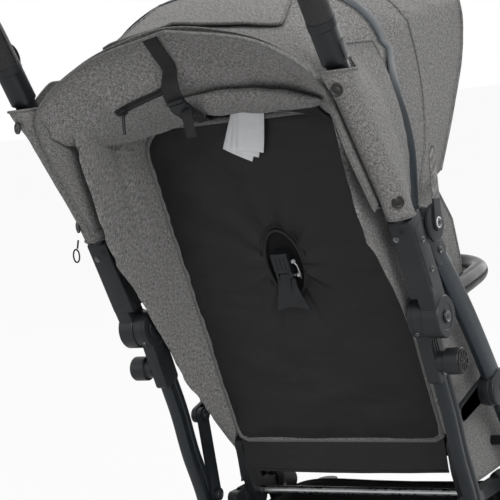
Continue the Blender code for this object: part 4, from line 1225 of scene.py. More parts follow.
class PUSHCHAIR_OT_back_cover(bpy.types.Operator):
    """Nylon cover on the backrest's rear with its hemmed oval opening, corded edge and bare label"""
    bl_idname = "pushchair.back_cover"
    bl_label = "Back cover"

    def execute(self, context):
        middle, hole_x, hole_u = OPENING
        low, high, half = 0.0120, BACK_LEN - 0.0020, BACK_HALF - 0.0010

        def inside(x, u):
            corner = 0.046 if u > middle else 0.014
            dx = max(0.0, abs(x) - (half - corner))
            du = max(0.0, u - (high - corner), (low + corner) - u)
            return abs(x) <= half and low <= u <= high and dx * dx + du * du <= corner * corner

        around, rings = 168, 34
        rows = [[] for _ in range(rings + 1)]
        edge = []
        for k in range(around):
            a = 2 * pi * k / around
            c, s = cos(a), sin(a)
            near, far = 0.02, 0.5
            for _ in range(26):
                reach = (near + far) / 2
                if inside(reach * c, middle + reach * s):
                    near = reach
                else:
                    far = reach
            first = 1.0 / sqrt((c / hole_x) ** 2 + (s / hole_u) ** 2)
            edge.append(back_point(near * c, middle + near * s, -0.0078))
            for i in range(rings + 1):
                f = (i / rings) ** 1.15
                r = first + (near - first) * f
                x, u = r * c, middle + r * s
                gap, rim = r - first, near - r
                puff = 0.0048 * (1 - exp(-gap / 0.022)) * (1 - exp(-rim / 0.020))
                rays = 0.0026 * exp(-gap / 0.085) * (1 - exp(-gap / 0.006)) * sin(11 * a + 2.4 * noise.noise(
                    Vector((2.2 * c, 2.2 * s, 0.0))) + 9 * r)
                soft = 0.0044 * bump_noise((x * 0.8, u * 1.5, 0.0), 13, 9.0) * (1 - exp(-rim / 0.03))
                pulls = 0.0024 * bump_noise((x * 0.35, u * 1.6, 0.0), 42, 4.0) * (1 - exp(-gap / 0.03))
                rows[i].append(back_point(x, u, -0.0092 - puff - rays - soft - pulls))
        cover = grid_mesh("back_cover_cloth", rows, loop=True)
        facing(cover, at(0, 0.4, 0.0))
        wall(cover, 0.0012, 0.0, 0)
        lay_out(cover, lambda p: (p.x, up_back(p)))
        paint(cover, FINISHES["nylon"], "nylon_black")
        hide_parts("back_cover")

        piping = paint(tube("back_piping", edge + edge[:1], 0.0044, 12, caps=False), FINISHES["piping"],
                       "fabric_grey")
        ring = [back_point(hole_x * cos(2 * pi * k / 60), middle + hole_u * sin(2 * pi * k / 60), -0.0098)
                for k in range(61)]
        wide_ring = [back_point((hole_x + 0.0065) * cos(2 * pi * k / 60), middle + (hole_u + 0.0065)
                                * sin(2 * pi * k / 60), -0.0112) for k in range(61)]
        hem = joined("opening_hem", [tube("hem", ring, 0.0023, 10, caps=False),
                                     tube("stitch", wide_ring, 0.0008, 6, caps=False)])
        paint(hem, FINISHES["webbing"], "nylon_black")

        layers = []
        for k, (dx, length, turn, rise) in enumerate(((0.0, 0.0600, 0.0, 0.0), (0.0020, 0.0580, 0.09, 0.0030),
                                                     (0.0030, 0.0540, 0.18, 0.0060))):
            lines = []
            for i in range(15):
                f = i / 14
                x = 0.018 + dx - (0.034 - 0.110 * turn) * f
                u = 0.5060 - length * f
                curl = rise * f + 0.0030 * f * f + 0.0012 * sin(3.0 * f + k)
                lines.append(back_point(x, u, -0.0150 - curl))
            layers.append(strip("layer", lines, [Vector((0.05 * k, -1.0, -0.30))] * 15, 0.0430 - 0.003 * k,
                                0.0006, 8,
                                0.0012))
        label = paint(joined("bare_label", layers), FINISHES["label"], "fabric_grey")
        for piece in (cover, piping, hem, label):
            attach(piece, "backrest")
        return {'FINISHED'}


WING_REAR = ((-0.255, 0.145), (-0.205, 0.139), (-0.131, 0.074), (-0.025, 0.008), (0.045, -0.036),
             (0.105, -0.084),
             (0.157, -0.108), (0.217, -0.124), (0.292, -0.142))
WING_FRONT = ((-0.255, 0.262), (-0.200, 0.310), (-0.130, 0.262), (-0.090, 0.228), (-0.017, 0.186),
              (0.041, 0.200),
              (0.099, 0.187), (0.150, 0.144), (0.205, 0.100), (0.292, 0.040))


class PUSHCHAIR_OT_wings(bpy.types.Operator):
    """Melange side wings between the backrest, the canopy and the seat's sides"""
    bl_idname = "pushchair.wings"
    bl_label = "Side wings"

    def execute(self, context):
        for tag, side in SIDES:
            rows = []
            for i in range(64):
                z = -0.252 + (0.286 + 0.252) * i / 63
                rear, front = table(WING_REAR, z), table(WING_FRONT, z)
                panel = 0.059 - 0.33 * z
                hinge = ease((z + 0.200) / 0.03)
                up = (z - RECLINE.z) * sqrt(1 + BACK_SLOPE * BACK_SLOPE) - (BACK_LEN - 0.048)
                corner = 0.046 - sqrt(max(0.0, 0.046 ** 2 - max(0.0, up) ** 2))
                x0 = 0.1742 + (0.1600 - 0.1742) * hinge - corner
                y0 = rear + (panel - rear) * hinge
                top = 0.186 if z > 0.1 else 0.1885
                most = top + (0.1805 - top) * ease((-0.09 - z) / 0.03)
                guide = [(x0, y0), (x0 + (most - x0) * 0.55, (y0 + rear) / 2 - 0.004 * hinge),
                         (most - 0.002, rear),
                         (most, rear + 0.03), (most, rear + (front - rear) * 0.45),
                         (most, rear + (front - rear) * 0.75), (most - 0.001, front)]
                row = []
                for k, p in enumerate(smooth_line([(x, y, 0.0) for x, y in guide], 46)):
                    u = k / 45
                    free = sin(pi * min(1.0, u * 1.02)) ** 0.6
                    fold = 0.0032 * free * bump_noise((p.y * 0.7, z * 1.5, side * 0.2), 17, 5.0)
                    crease = 0.0012 * free * bump_noise((p.y * 0.6, z * 1.2, side), 44, 2.0)
                    x = p.x + min(0.0, fold) + crease * 0.5
                    y = p.y + (fold + crease) * (1 if u > 0.35 else -1) * 0.8
                    arm = ease((z + 0.040) / 0.025) * ease((y - 0.045) / 0.03)
                    limit = most + (0.1742 - most) * min(1.0, 1.5 * arm)
                    x = min(x, limit)
                    if u > 0.12:
                        x = max(x, 0.1738)
                    row.append(at(side * x, y, z))
                rows.append(row)
            wing = grid_mesh("wing_" + tag, rows)
            facing(wing, at(0, 0.12, 0.0))
            wall(wing, 0.0014, 0.0, 0)
            paint(wing, FINISHES["melange"], "fabric_grey")
            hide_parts("side_wing_" + tag)
            cords = [tube("front_edge", [row[-1] for row in rows], 0.0024, 8),
                     tube("lower_edge", rows[0], 0.0020, 8), tube("upper_edge", rows[-1], 0.0020, 8)]
            edge = paint(joined("wing_binding_" + tag, cords), FINISHES["piping"], "fabric_grey")
            for piece in (wing, edge):
                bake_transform(piece)
            cloth_sheet(rows)
        return {'FINISHED'}


def pad_mesh(name, half, place, u0, u1, n0, edge, crown, columns=30, rows=30, drawn=0.035):
    """Pad with a flat underside, drawn-in sides and a crowned top, laid out by place(x, u, n)."""
    top_rows = []
    for j in range(rows + 1):
        t, row = 2.0 * j / rows - 1.0, []
        for i in range(columns + 1):
            s = 2.0 * i / columns - 1.0
            x = half * s * (1.0 - drawn * t ** 4)
            u = (u0 + u1) / 2 + (u1 - u0) / 2 * t * (1.0 - 0.7 * drawn * s ** 4)
            row.append((x, u, n0 + edge + crown * (1.0 - s ** 4) * (1.0 - t ** 4)))
        top_rows.append(row)
    mesh = bmesh.new()
    upper = [[mesh.verts.new(place(*p)) for p in row] for row in top_rows]
    lower = [[mesh.verts.new(place(x, u, n0)) for x, u, _ in row] for row in top_rows]
    for j in range(rows):
        for i in range(columns):
            mesh.faces.new((upper[j][i], upper[j][i + 1], upper[j + 1][i + 1], upper[j + 1][i]))
            mesh.faces.new((lower[j][i], lower[j + 1][i], lower[j + 1][i + 1], lower[j][i + 1]))
    for i in range(columns):
        mesh.faces.new((upper[0][i], lower[0][i], lower[0][i + 1], upper[0][i + 1]))
        mesh.faces.new((upper[rows][i + 1], lower[rows][i + 1], lower[rows][i], upper[rows][i]))
    for j in range(rows):
        mesh.faces.new((upper[j + 1][0], lower[j + 1][0], lower[j][0], upper[j][0]))
        mesh.faces.new((upper[j][columns], lower[j][columns], lower[j + 1][columns], upper[j + 1][columns]))
    bmesh.ops.recalc_face_normals(mesh, faces=mesh.faces)
    data = bpy.data.meshes.new(name)
    mesh.to_mesh(data)
    mesh.free()
    obj = bpy.data.objects.new(name, data)
    bpy.context.scene.collection.objects.link(obj)
    return obj


def swell(obj, height, most=0.007, voxel=0.0050):
    """Fills the pad: cloth under pressure, held where height(point) is 0, moved by at most `most`."""
    modify(obj, 'REMESH', mode='VOXEL', voxel_size=voxel)
    before = [v.co.copy() for v in obj.data.vertices]
    alone(obj)
    cloth = obj.modifiers.new("cloth", 'CLOTH')
    cloth.settings.use_pressure = True
    cloth.settings.uniform_pressure_force = 4.0
    cloth.settings.effector_weights.gravity = 0.0
    cloth.settings.quality = 5
    cloth.point_cache.frame_start = 1
    cloth.point_cache.frame_end = 20
    for step in range(1, 21):
        bpy.context.scene.frame_set(step)
    bpy.ops.object.modifier_apply(modifier=cloth.name)
    bpy.context.scene.frame_set(1)
    for vert, old in zip(obj.data.vertices, before):
        move = (vert.co - old) * height(old)
        if move.length > most:
            move = move.normalized() * most
        vert.co = old + move
    return obj


def sew(obj, grooves, depth, normal):
    """Presses sewn channels in: grooves(point) gives 0 to 1."""
    for vert in obj.data.vertices:
        g = grooves(vert.co)
        if g > 0.001:
            vert.co = vert.co - normal * depth * g
    return obj


SEAT_BACK = (0.1300, -0.2050)
SEAT_U = (cos(radians(3.57)), sin(radians(3.57)))
SEAT_N = Vector((0.0, -SEAT_U[1], SEAT_U[0]))
BACK_N = Vector((0.0, 1.0, -BACK_SLOPE)).normalized()
LEG_START = (0.3780, -0.1950)
LEG_U = (cos(radians(-58)), sin(radians(-58)))


def seat_point(x, u, n):
    return at(x, SEAT_BACK[0] + SEAT_U[0] * u - SEAT_U[1] * n, SEAT_BACK[1] + SEAT_U[1] * u + SEAT_U[0] * n)


def leg_point(x, u, n):
    return at(x, LEG_START[0] + LEG_U[0] * u - LEG_U[1] * n, LEG_START[1] + LEG_U[1] * u + LEG_U[0] * n)


class PUSHCHAIR_OT_cushions(bpy.types.Operator):
    """Seat, back and leg cushions with sewn channels and corded edges"""
    bl_idname = "pushchair.cushions"
    bl_label = "Cushions"

    def execute(self, context):
        def ridge(value, middle, width):
            return exp(-((value - middle) / width) ** 2)

        def seat_u(p):
            return (p.y - MAIN.y - SEAT_BACK[0]) * SEAT_U[0] + (p.z - MAIN.z - SEAT_BACK[1]) * SEAT_U[1]

        def seat_n(p):
            return (p.z - MAIN.z - SEAT_BACK[1]) * SEAT_U[0] - (p.y - MAIN.y - SEAT_BACK[0]) * SEAT_U[1]

        def back_n(p):
            return (p - back_point(0, 0, 0)).dot(BACK_N)

        seat = pad_mesh("seat_cushion", 0.1530, seat_point, 0.0220, 0.2440, 0.0006, 0.0150, 0.0060)
        swell(seat, lambda p: ease(seat_n(p) / 0.008), 0.0080)
        sew(seat, lambda p: ease(seat_n(p) / 0.014) * (
            max(ridge(seat_u(p), u, 0.0032) for u in (0.085, 0.160)) * ease((0.142 - abs(p.x)) / 0.01)
            + ridge(abs(p.x), 0.108, 0.0032) * ease((seat_u(p) - 0.03) / 0.02)), 0.0055, SEAT_N)
        back = pad_mesh("back_cushion", 0.1490, back_point, 0.0280, BACK_LEN - 0.0080, 0.0006, 0.0080, 0.0060,
                        30, 44)
        swell(back, lambda p: ease(back_n(p) / 0.006), 0.0070)
        sew(back, lambda p: ease(back_n(p) / 0.010) * (
            max(ridge(up_back(p), u, 0.0034) for u in (0.130, 0.235,
                                                       0.345)) * ease((0.100 - abs(p.x)) / 0.006)
            + ridge(abs(p.x), 0.102, 0.0034) * ease((up_back(p) - 0.04) / 0.02)), 0.0060, BACK_N)
        leg = pad_mesh("leg_cushion", 0.1360, leg_point, 0.0100, 0.1120, -0.0048, 0.0060, 0.0040, 26, 14)
        leg_normal = Vector((0.0, -LEG_U[1], LEG_U[0]))
        leg_n = lambda p: (p - leg_point(0, 0, 0)).dot(leg_normal) + 0.005
        swell(leg, lambda p: ease(leg_n(p) / 0.004), 0.0050)
        for obj, body, node in ((seat, "front_frame", "seat_pad"), (back, "backrest", "back_pad"),
                                (leg, "leg_support", "leg_rest")):
            modify(obj, 'SUBSURF', levels=1, render_levels=1)
            paint(smooth(obj, 75), FINISHES["melange_pad"], "fabric_grey")
            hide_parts(node)
            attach(obj, body)

        def rim(place, half, u0, u1, n, drawn=0.035):
            spots = []
            for a in range(73):
                t = 2 * pi * a / 72
                sx, sy = (max(-1.0, min(1.0, 1.25 * f(t))) for f in (cos, sin))
                spots.append(place(half * sx * (1 - drawn * sy ** 4),
                                   (u0 + u1) / 2 + (u1 - u0) / 2 * sy * (1 - 0.7 * drawn * sx ** 4), n))
            return spots

        for name, spots, body in (("seat_cushion_cord", rim(seat_point, 0.1545, 0.0200, 0.2450, 0.0165),
                                   "front_frame"),
                                  ("back_cushion_cord",
                                   rim(back_point, 0.1500, 0.0260, BACK_LEN - 0.0060, 0.0085),
                                   "backrest")):
            cord = paint(tube(name, spots, 0.0023, 8, caps=False), FINISHES["nylon_pad"], "nylon_black")
            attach(cord, body)
        hinge = paint(tube("leg_cushion_barrel", [at(-0.1400, *LEG_START), at(0.1400, *LEG_START)], 0.0062,
                           20),
                      FINISHES["nylon_pad"], "nylon_black")
        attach(hinge, "leg_support")
        return {'FINISHED'}


class PUSHCHAIR_OT_harness(bpy.types.Operator):
    """Shoulder pads, shoulder, lap and crotch straps of the five-point harness"""
    bl_idname = "pushchair.harness"
    bl_label = "Harness"

    def execute(self, context):
        black = FINISHES["webbing"]
        front = Vector((0.0, 1.0, 0.33))
        for tag, side in SIDES:
            line = smooth_line([back_point(side * 0.058, u, n) for u, n in
                                ((0.452, 0.0185), (0.435, 0.0260), (0.380, 0.0275), (0.320, 0.0275),
                                 (0.262, 0.0270))], 30)
            pad = strip("shoulder_pad_" + tag, line, [front] * 30,
                        lambda t: 0.044 - 0.008 * (1 - sin(pi * t)) ** 2,
                        0.0065, 8, 0.0020)
            modify(pad, 'SUBSURF', levels=1, render_levels=1)
            paint(pad, FINISHES["melange_pad"], "fabric_grey")
            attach(pad, "backrest")
            down = smooth_line([back_point(side * 0.058, 0.270, 0.0270), at(side * 0.058, 0.105, -0.010),
                                at(side * 0.053, 0.148, -0.082), at(side * 0.043, 0.195, -0.123),
                                at(side * 0.0200, 0.2480, -0.1120)], 40)
            strap = strip("shoulder_strap_" + tag, down, [Vector((0, 0.8, 0.6))] * 40, 0.0240, 0.0014, 6)
            paint(strap, black, "nylon_black")
            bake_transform(strap)
            across = smooth_line([at(side * 0.140, 0.172, -0.163), at(side * 0.110, 0.178, -0.152),
                                  at(side * 0.072, 0.205, -0.145), at(side * 0.040, 0.232, -0.132),
                                  at(side * 0.0200, 0.2480, -0.1230)], 30)
            lap = strip("lap_strap_" + tag, across, [Vector((0, 0.35, 1.0))] * 30, 0.0240, 0.0014, 6)
            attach(paint(lap, black, "nylon_black"), "front_frame")
        for name, line, body in (("crotch_strap", [at(0, 0.2500, -0.1040), at(0, 0.2500, -0.1400),
                                                   at(0, 0.2490, -0.1640), at(0, 0.2470, -0.1780)],
                                                   "front_frame"),):
            strap = strip(name, smooth_line(line, 16), [Vector((0, 1, 0))] * 16, 0.0250, 0.0062, 6)
            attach(paint(strap, black, "nylon_black"), body)
        return {'FINISHED'}


class PUSHCHAIR_OT_skirt(bpy.types.Operator):
    """Black fabric edge behind and below the seat"""
    bl_idname = "pushchair.skirt"
    bl_label = "Seat skirt"

    def execute(self, context):
        rows = []
        for i in range(10):
            v, row = i / 9, []
            for k in range(61):
                x = -0.1560 + 0.3120 * k / 60
                wave = 0.0012 * bump_noise((x, 0.0, v * 0.03), 24, 6.0)
                row.append(at(x, 0.1215 + 0.004 * v + wave, -0.184 - 0.047 * v - 0.002 * cos(x * 10) * v))
            rows.append(row)
        skirt = facing(grid_mesh("seat_skirt", rows), at(0, 0.3, -0.2))
        wall(skirt, 0.0012, -1.0, 0)
        paint(skirt, FINISHES["nylon"], "nylon_black")
        edge = paint(joined("skirt_binding",
                            [tube("low", rows[-1], 0.0019, 8), tube("top", rows[0], 0.0016, 8)]),
                     FINISHES["webbing"], "nylon_black")
        for piece in (skirt, edge):
            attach(piece, "front_frame")
        cloth_sheet(rows)
        return {'FINISHED'}


class PUSHCHAIR_OT_basket(bpy.types.Operator):
    """Sagging shopping basket of black fabric, hung by loops from the lower rails"""
    bl_idname = "pushchair.basket"
    bl_label = "Basket"

    def execute(self, context):
        rows, around = [], 96
        for i in range(30):
            v = i / 29
            wall_part = min(1.0, v / 0.55)
            inset = max(0.0, (v - 0.55) / 0.45)
            z = -0.3010 - 0.0880 * ease(wall_part) ** 1.0 - 0.0050 * inset
            half = (0.1830 - 0.0280 * wall_part) * (1 - inset ** 1.3 * 0.97)
            y0, y1 = 0.1010 + 0.0170 * wall_part, 0.3290 - 0.0290 * wall_part
            mid, deep = (y0 + y1) / 2, (y1 - y0) / 2 * (1 - inset ** 1.3 * 0.97)
            row = []
            for k in range(around):
                a = 2 * pi * k / around
                power = 0.42 + 0.25 * inset
                c = abs(cos(a)) ** power * (1 if cos(a) >= 0 else -1)
                s = abs(sin(a)) ** power * (1 if sin(a) >= 0 else -1)
                slack = 0.0040 * sin(pi * wall_part) * bump_noise((c, s, v * 0.5), 2.3, 4.0)
                sag = 0.0050 * (1 - wall_part) * (1 - abs(sin(2 * a)))
                row.append(at(half * c + slack * c, mid + deep * s + slack * s, z - sag + 0.0012
                              * bump_noise((half * c, deep * s, v * 0.1), 26, 3.0) * ease(v * 4)))
            rows.append(row)
        basket = grid_mesh("basket_cloth", rows, loop=True)
        facing(basket, at(0, 0.21, -0.33))
        wall(basket, 0.0012, -1.0, 0)
        paint(basket, FINISHES["nylon"], "nylon_black")
        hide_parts("basket")
        rim = tube("rim", rows[0] + rows[0][:1], 0.0026, 8, caps=False)
        loops = []
        for side in (1, -1):
            for y in (0.140, 0.235):
                line = smooth_line([at(side * 0.1800, y, -0.318), at(side * 0.1858, y, -0.296),
                                    at(side * 0.1868, y, -0.272), at(side * 0.1775, y, -0.2595),
                                    at(side * 0.1682, y, -0.272), at(side * 0.1740, y, -0.300)], 24)
                loops.append(strip("loop", line, [p - at(side * 0.1775, y, -0.285) for p in line], 0.020,
                                   0.0012, 4))
        edge = paint(joined("basket_binding", [rim] + loops), FINISHES["webbing"], "nylon_black")
        for piece in (basket, edge):
            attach(piece, "front_frame")
        closed = [row + row[:1] for row in rows]
        cloth_sheet(closed)
        return {'FINISHED'}


# Frame details: centres in the side view
BOSS = (0.015, -0.059)
BAR_PIVOT = (0.0900, 0.0050)
LINK_TOP = (0.0860, -0.1420)
LINK_FOOT = (0.0940, -0.2590)
BRACKET = (0.1700, -0.1235)
BRACKET_REAR = (0.1560, -0.1275)
CASTING_TOP = (0.2380, -0.2340)
CASTING_FOOT = (0.2740, -0.2880)


def side_back(u, n):
    p = back_point(0, u, n)
    return (p.y - MAIN.y, p.z - MAIN.z)


def hull_outline(circles, steps=44, grow=0.0):
    """Outline that a band stretched round the circles would take, in the side view."""
    spots = set()
    for y, z, r in circles:
        for k in range(steps):
            a = 2 * pi * k / steps
            spots.add((round(y + (r + grow) * cos(a), 7), round(z + (r + grow) * sin(a), 7)))
    spots = sorted(spots)

    def chain(points):
        out = []
        for p in points:
            while len(out) > 1 and ((out[-1][0] - out[-2][0]) * (p[1] - out[-2][1])
                                    - (out[-1][1] - out[-2][1]) * (p[0] - out[-2][0])) <= 0:
                out.pop()
            out.append(p)
        return out[:-1]

    return chain(spots) + chain(spots[::-1])


def plate(name, side, x0, x1, circles, bevel=0.0014, grow=0.0003, steps=44):
    """Moulded plate: the band outline is extruded across and its rims are bevelled."""
    outline = hull_outline(circles, steps, grow)
    mesh = bpy.data.meshes.new(name)
    mesh.from_pydata([at(side * x0, y, z) for y, z in outline], [], [range(len(outline))])
    obj = bpy.data.objects.new(name, mesh)
    bpy.context.scene.collection.objects.link(obj)
    edit(obj)
    bpy.ops.mesh.select_all(action='SELECT')
    bpy.ops.mesh.extrude_region_move(TRANSFORM_OT_translate={"value": (side * (x1 - x0), 0, 0)})
    bpy.ops.mesh.select_all(action='SELECT')
    bpy.ops.mesh.normals_make_consistent(inside=False)
    leave(obj)
    modify(obj, 'BEVEL', width=bevel, segments=3, limit_method='ANGLE', angle_limit=radians(50))
    return smooth(obj, 40)


def corners(a, b, half, r=0.004, over=0.0):
    """Four small circles at the corners of a bar from a to b."""
    ay, az = a
    by, bz = b
    long = sqrt((by - ay) ** 2 + (bz - az) ** 2)
    ey, ez = (by - ay) / long, (bz - az) / long
    out = []
    for (y, z), k in ((a, -1), (b, 1)):
        for m in (-1, 1):
            out.append((y + ey * k * over - ez * m * (half - r), z + ez * k * over + ey * m * (half - r), r))
    return out


def screw(place, direction, radius=0.0045):
    """Screw head with a rolled rim and a six-sided socket."""
    alone()
    bpy.ops.mesh.primitive_cylinder_add(vertices=24, radius=radius, depth=0.0024)
    head = bpy.context.object
    edit(head)
    choose(head, lambda f: f.normal.z > 0.9)
    bpy.ops.mesh.inset(thickness=radius * 0.20, depth=0.0)
    bpy.ops.mesh.inset(thickness=radius * 0.10, depth=-0.0006)
    leave(head)
    modify(head, 'BEVEL', width=0.0003, segments=2, limit_method='ANGLE', angle_limit=radians(40))
    alone()
    bpy.ops.mesh.primitive_cylinder_add(vertices=6, radius=radius * 0.50, depth=0.0012,
                                        location=(0, 0, 0.0007))
    ring = bpy.context.object
    edit(ring)
    choose(ring, lambda f: f.normal.z > 0.9)
    bpy.ops.mesh.inset(thickness=radius * 0.12, depth=0.0)
    bpy.ops.mesh.inset(thickness=0.0001, depth=-0.0009)
    leave(ring)
    settle(ring)
    obj = joined("screw", [head, ring])
    obj.matrix_world = Matrix.Translation(place) @ Vector(direction).to_track_quat('Z', 'Y').to_matrix().to_4x4()
    return smooth(settle(obj), 30)


def ride(name, objects, finish, body, slot, replaces=()):
    """Joins the parts, gives them their finish and their body."""
    obj = joined(name, objects) if len(objects) > 1 else objects[0]
    obj.name = obj.data.name = name
    paint(obj, FINISHES[finish], slot)
    if replaces:
        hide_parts(*replaces)
    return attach(obj, body)


class PUSHCHAIR_OT_tubes(bpy.types.Operator):
    """Smooth push tubes with collars, leatherette grip, front bar, front tubes and two-channel rear legs"""
    bl_idname = "pushchair.tubes"
    bl_label = "Tubes"

    def execute(self, context):
        ends, seams = [], []
        for tag, side in SIDES:
            route = [at(side * TUBE_X, y, z) for y, z in PUSH_ROUTE]
            wing = Vector((1, 0, 0))
            push = bar("push", route, 0.0270, 0.0270, wing, 60, 32)
            low, high = at(side * TUBE_X, -0.1800, 0.3250), at(side * TUBE_X, -0.2002, 0.3635)
            span = high - low
            collar = bar("collar", [low + span * f for f in (0.0, 0.02, 0.04, 0.5, 0.9, 1.0)],
                         lambda t: 0.0310 - 0.0030 * ease((0.05 - t) / 0.05),
                         lambda t: 0.0310 - 0.0030 * ease((0.05 - t) / 0.05),
                         wing, 30, 32, 2.6)
            clip = block_at("clip", low + span * 0.35 + Vector((side * 0.0153, 0, 0)),
                            (0.0130, 0.0200, 0.0022),
                            span, Vector((side, 0, 0)), 0.0009)
            ride("push_tube_skin_" + tag, [push, collar, clip], "black_tube", "push_bar", "tube_black",
                 ["push_tube_" + tag])

            front = bar("front", [at(side * FRONT_X, y, z) for y, z in FRONT_ROUTE], 0.0176, 0.0366, wing, 70,
                        36, 2.6)
            ride("front_tube_skin_" + tag, [front], "satin", "front_frame", "frame_blue",
                 ["front_tube_" + tag])
            eye = turned("eye", side, HINGE,
                         [(0.2087, 0.0056), (0.2087, 0.0212), (0.2095, 0.0221), (0.2235, 0.0221),
                                              (0.2243, 0.0212), (0.2243, 0.0056), (0.2087, 0.0056)], 48)
            strut = plate("strut", side, 0.2080, 0.2249, [(0.0082, 0.1038, 0.0140), (0.0300, 0.0770, 0.0182)],
                          0.0020)
            mount = turned("mount", side, BAR_PIVOT, [(0.1780, 0.0), (0.1780, 0.0046), (0.1784, 0.0050),
                                                             (0.2045, 0.0050), (0.2045, 0.0132),
                                                             (0.2053, 0.0140),
                                                             (0.2095, 0.0140), (0.2095, 0.0)], 36)
            ride("front_tube_eye_" + tag, [eye, strut, mount], "casing", "front_frame", "frame_black")
            ride("eye_screw_" + tag, [screw(at(side * 0.2254, 0.0290, 0.0790), (side, 0, 0), 0.0046)],
                 "screw",
                 "front_frame", "steel")

            beads = [bar("core", [at(side * LEG_X, y, z) for y, z in LEG_ROUTE], 0.0130, 0.0250, wing, 70, 16,
                         4.0)]
            line = smooth_line([at(side * LEG_X, y, z) for y, z in LEG_ROUTE], 70)
            for k in (-1, 1):
                offset = []
                for i, p in enumerate(line):
                    t = (line[min(i + 1, 69)] - line[max(i - 1, 0)]).normalized()
                    offset.append(p + t.cross(wing) * k * 0.0069)
                beads.append(bar("bead", offset[::4] + offset[-1:], 0.0174, 0.0126, wing, 66, 20, 3.2))
            ride("rear_leg_channels_" + tag, beads, "grey_tube", "chassis", "frame_grey")
            first = at(side * 0.2207, -0.201, 0.365)
            ends.append(bar("ring", [first + Vector((0, -0.021, 0.040)).normalized() * d for d in (-0.001, 0.004, 0.009)],
                            0.0346, 0.0346, wing, 10, 32))

        line = smooth_line([at(*p) for p in GRIP_ROUTE], 100)
        grip = bar("grip", mirrored(line), 0.0334, 0.0334, Vector((0, -0.9, 0.4)), 190, 36)
        inner = []
        for i, p in enumerate(line[2:-10]):
            t = (line[i + 3] - line[i + 1]).normalized()
            inner.append(p + t.cross(Vector((0, -0.9, -0.5))).normalized() * -0.0168)
        for points in (inner, [Vector((-p.x, p.y, p.z)) for p in inner]):
            seams.append(tube("seam", points, 0.0009, 6))
        ride("handle_grip_cover", [grip] + seams, "leather", "push_bar", "grip", ["handle_grip"])
        ride("grip_end_rings", ends, "plastic", "push_bar", "frame_black")

        route = smooth_line([at(*p) for p in BUMPER_ROUTE], 60)
        guard = bar("guard", mirrored(route), 0.0270, 0.0270, Vector((0, 0, 1)), 150, 30)
        cuffs = [bar("cuff", [Vector((k * p.x, p.y, p.z)) for p in route[6:16]], 0.0282, 0.0282,
                     Vector((0, 0, 1)), 12, 30)
                 for k in (1, -1)]
        ride("front_bar_cover", [guard] + cuffs, "gloss", "bumper", "grip", ["bumper_bar"])

        loop = [at(-0.2350, y, z) for y, z in ((-0.2150, 0.3860), (-0.2000, 0.3990), (-0.1750, 0.3960),
                                               (-0.1640, 0.3790), (-0.1720, 0.3600), (-0.1950, 0.3560))]
        wrist = bar("wrist_loop_strap", loop, 0.0110, 0.0020, Vector((1, 0, 0)), 40, 12, 4.0)
        ride("wrist_loop", [wrist], "webbing", "push_bar", "nylon_black")
        ring = [at(-0.2390 + 0.0005 * cos(a), -0.0925 + 0.0058 * cos(a), 0.1160 + 0.0085 * sin(a))
                for a in [2 * pi * k / 28 for k in range(29)]]
        hang = [at(-0.2375, -0.0860, 0.1360), at(-0.2385, -0.0890, 0.1250)]
        ride("sleeve_elastic", [tube("loop", ring, 0.0011, 6, caps=False), tube("cord", hang, 0.0012, 6)],
             "webbing",
             "push_bar", "nylon_black")
        return {'FINISHED'}


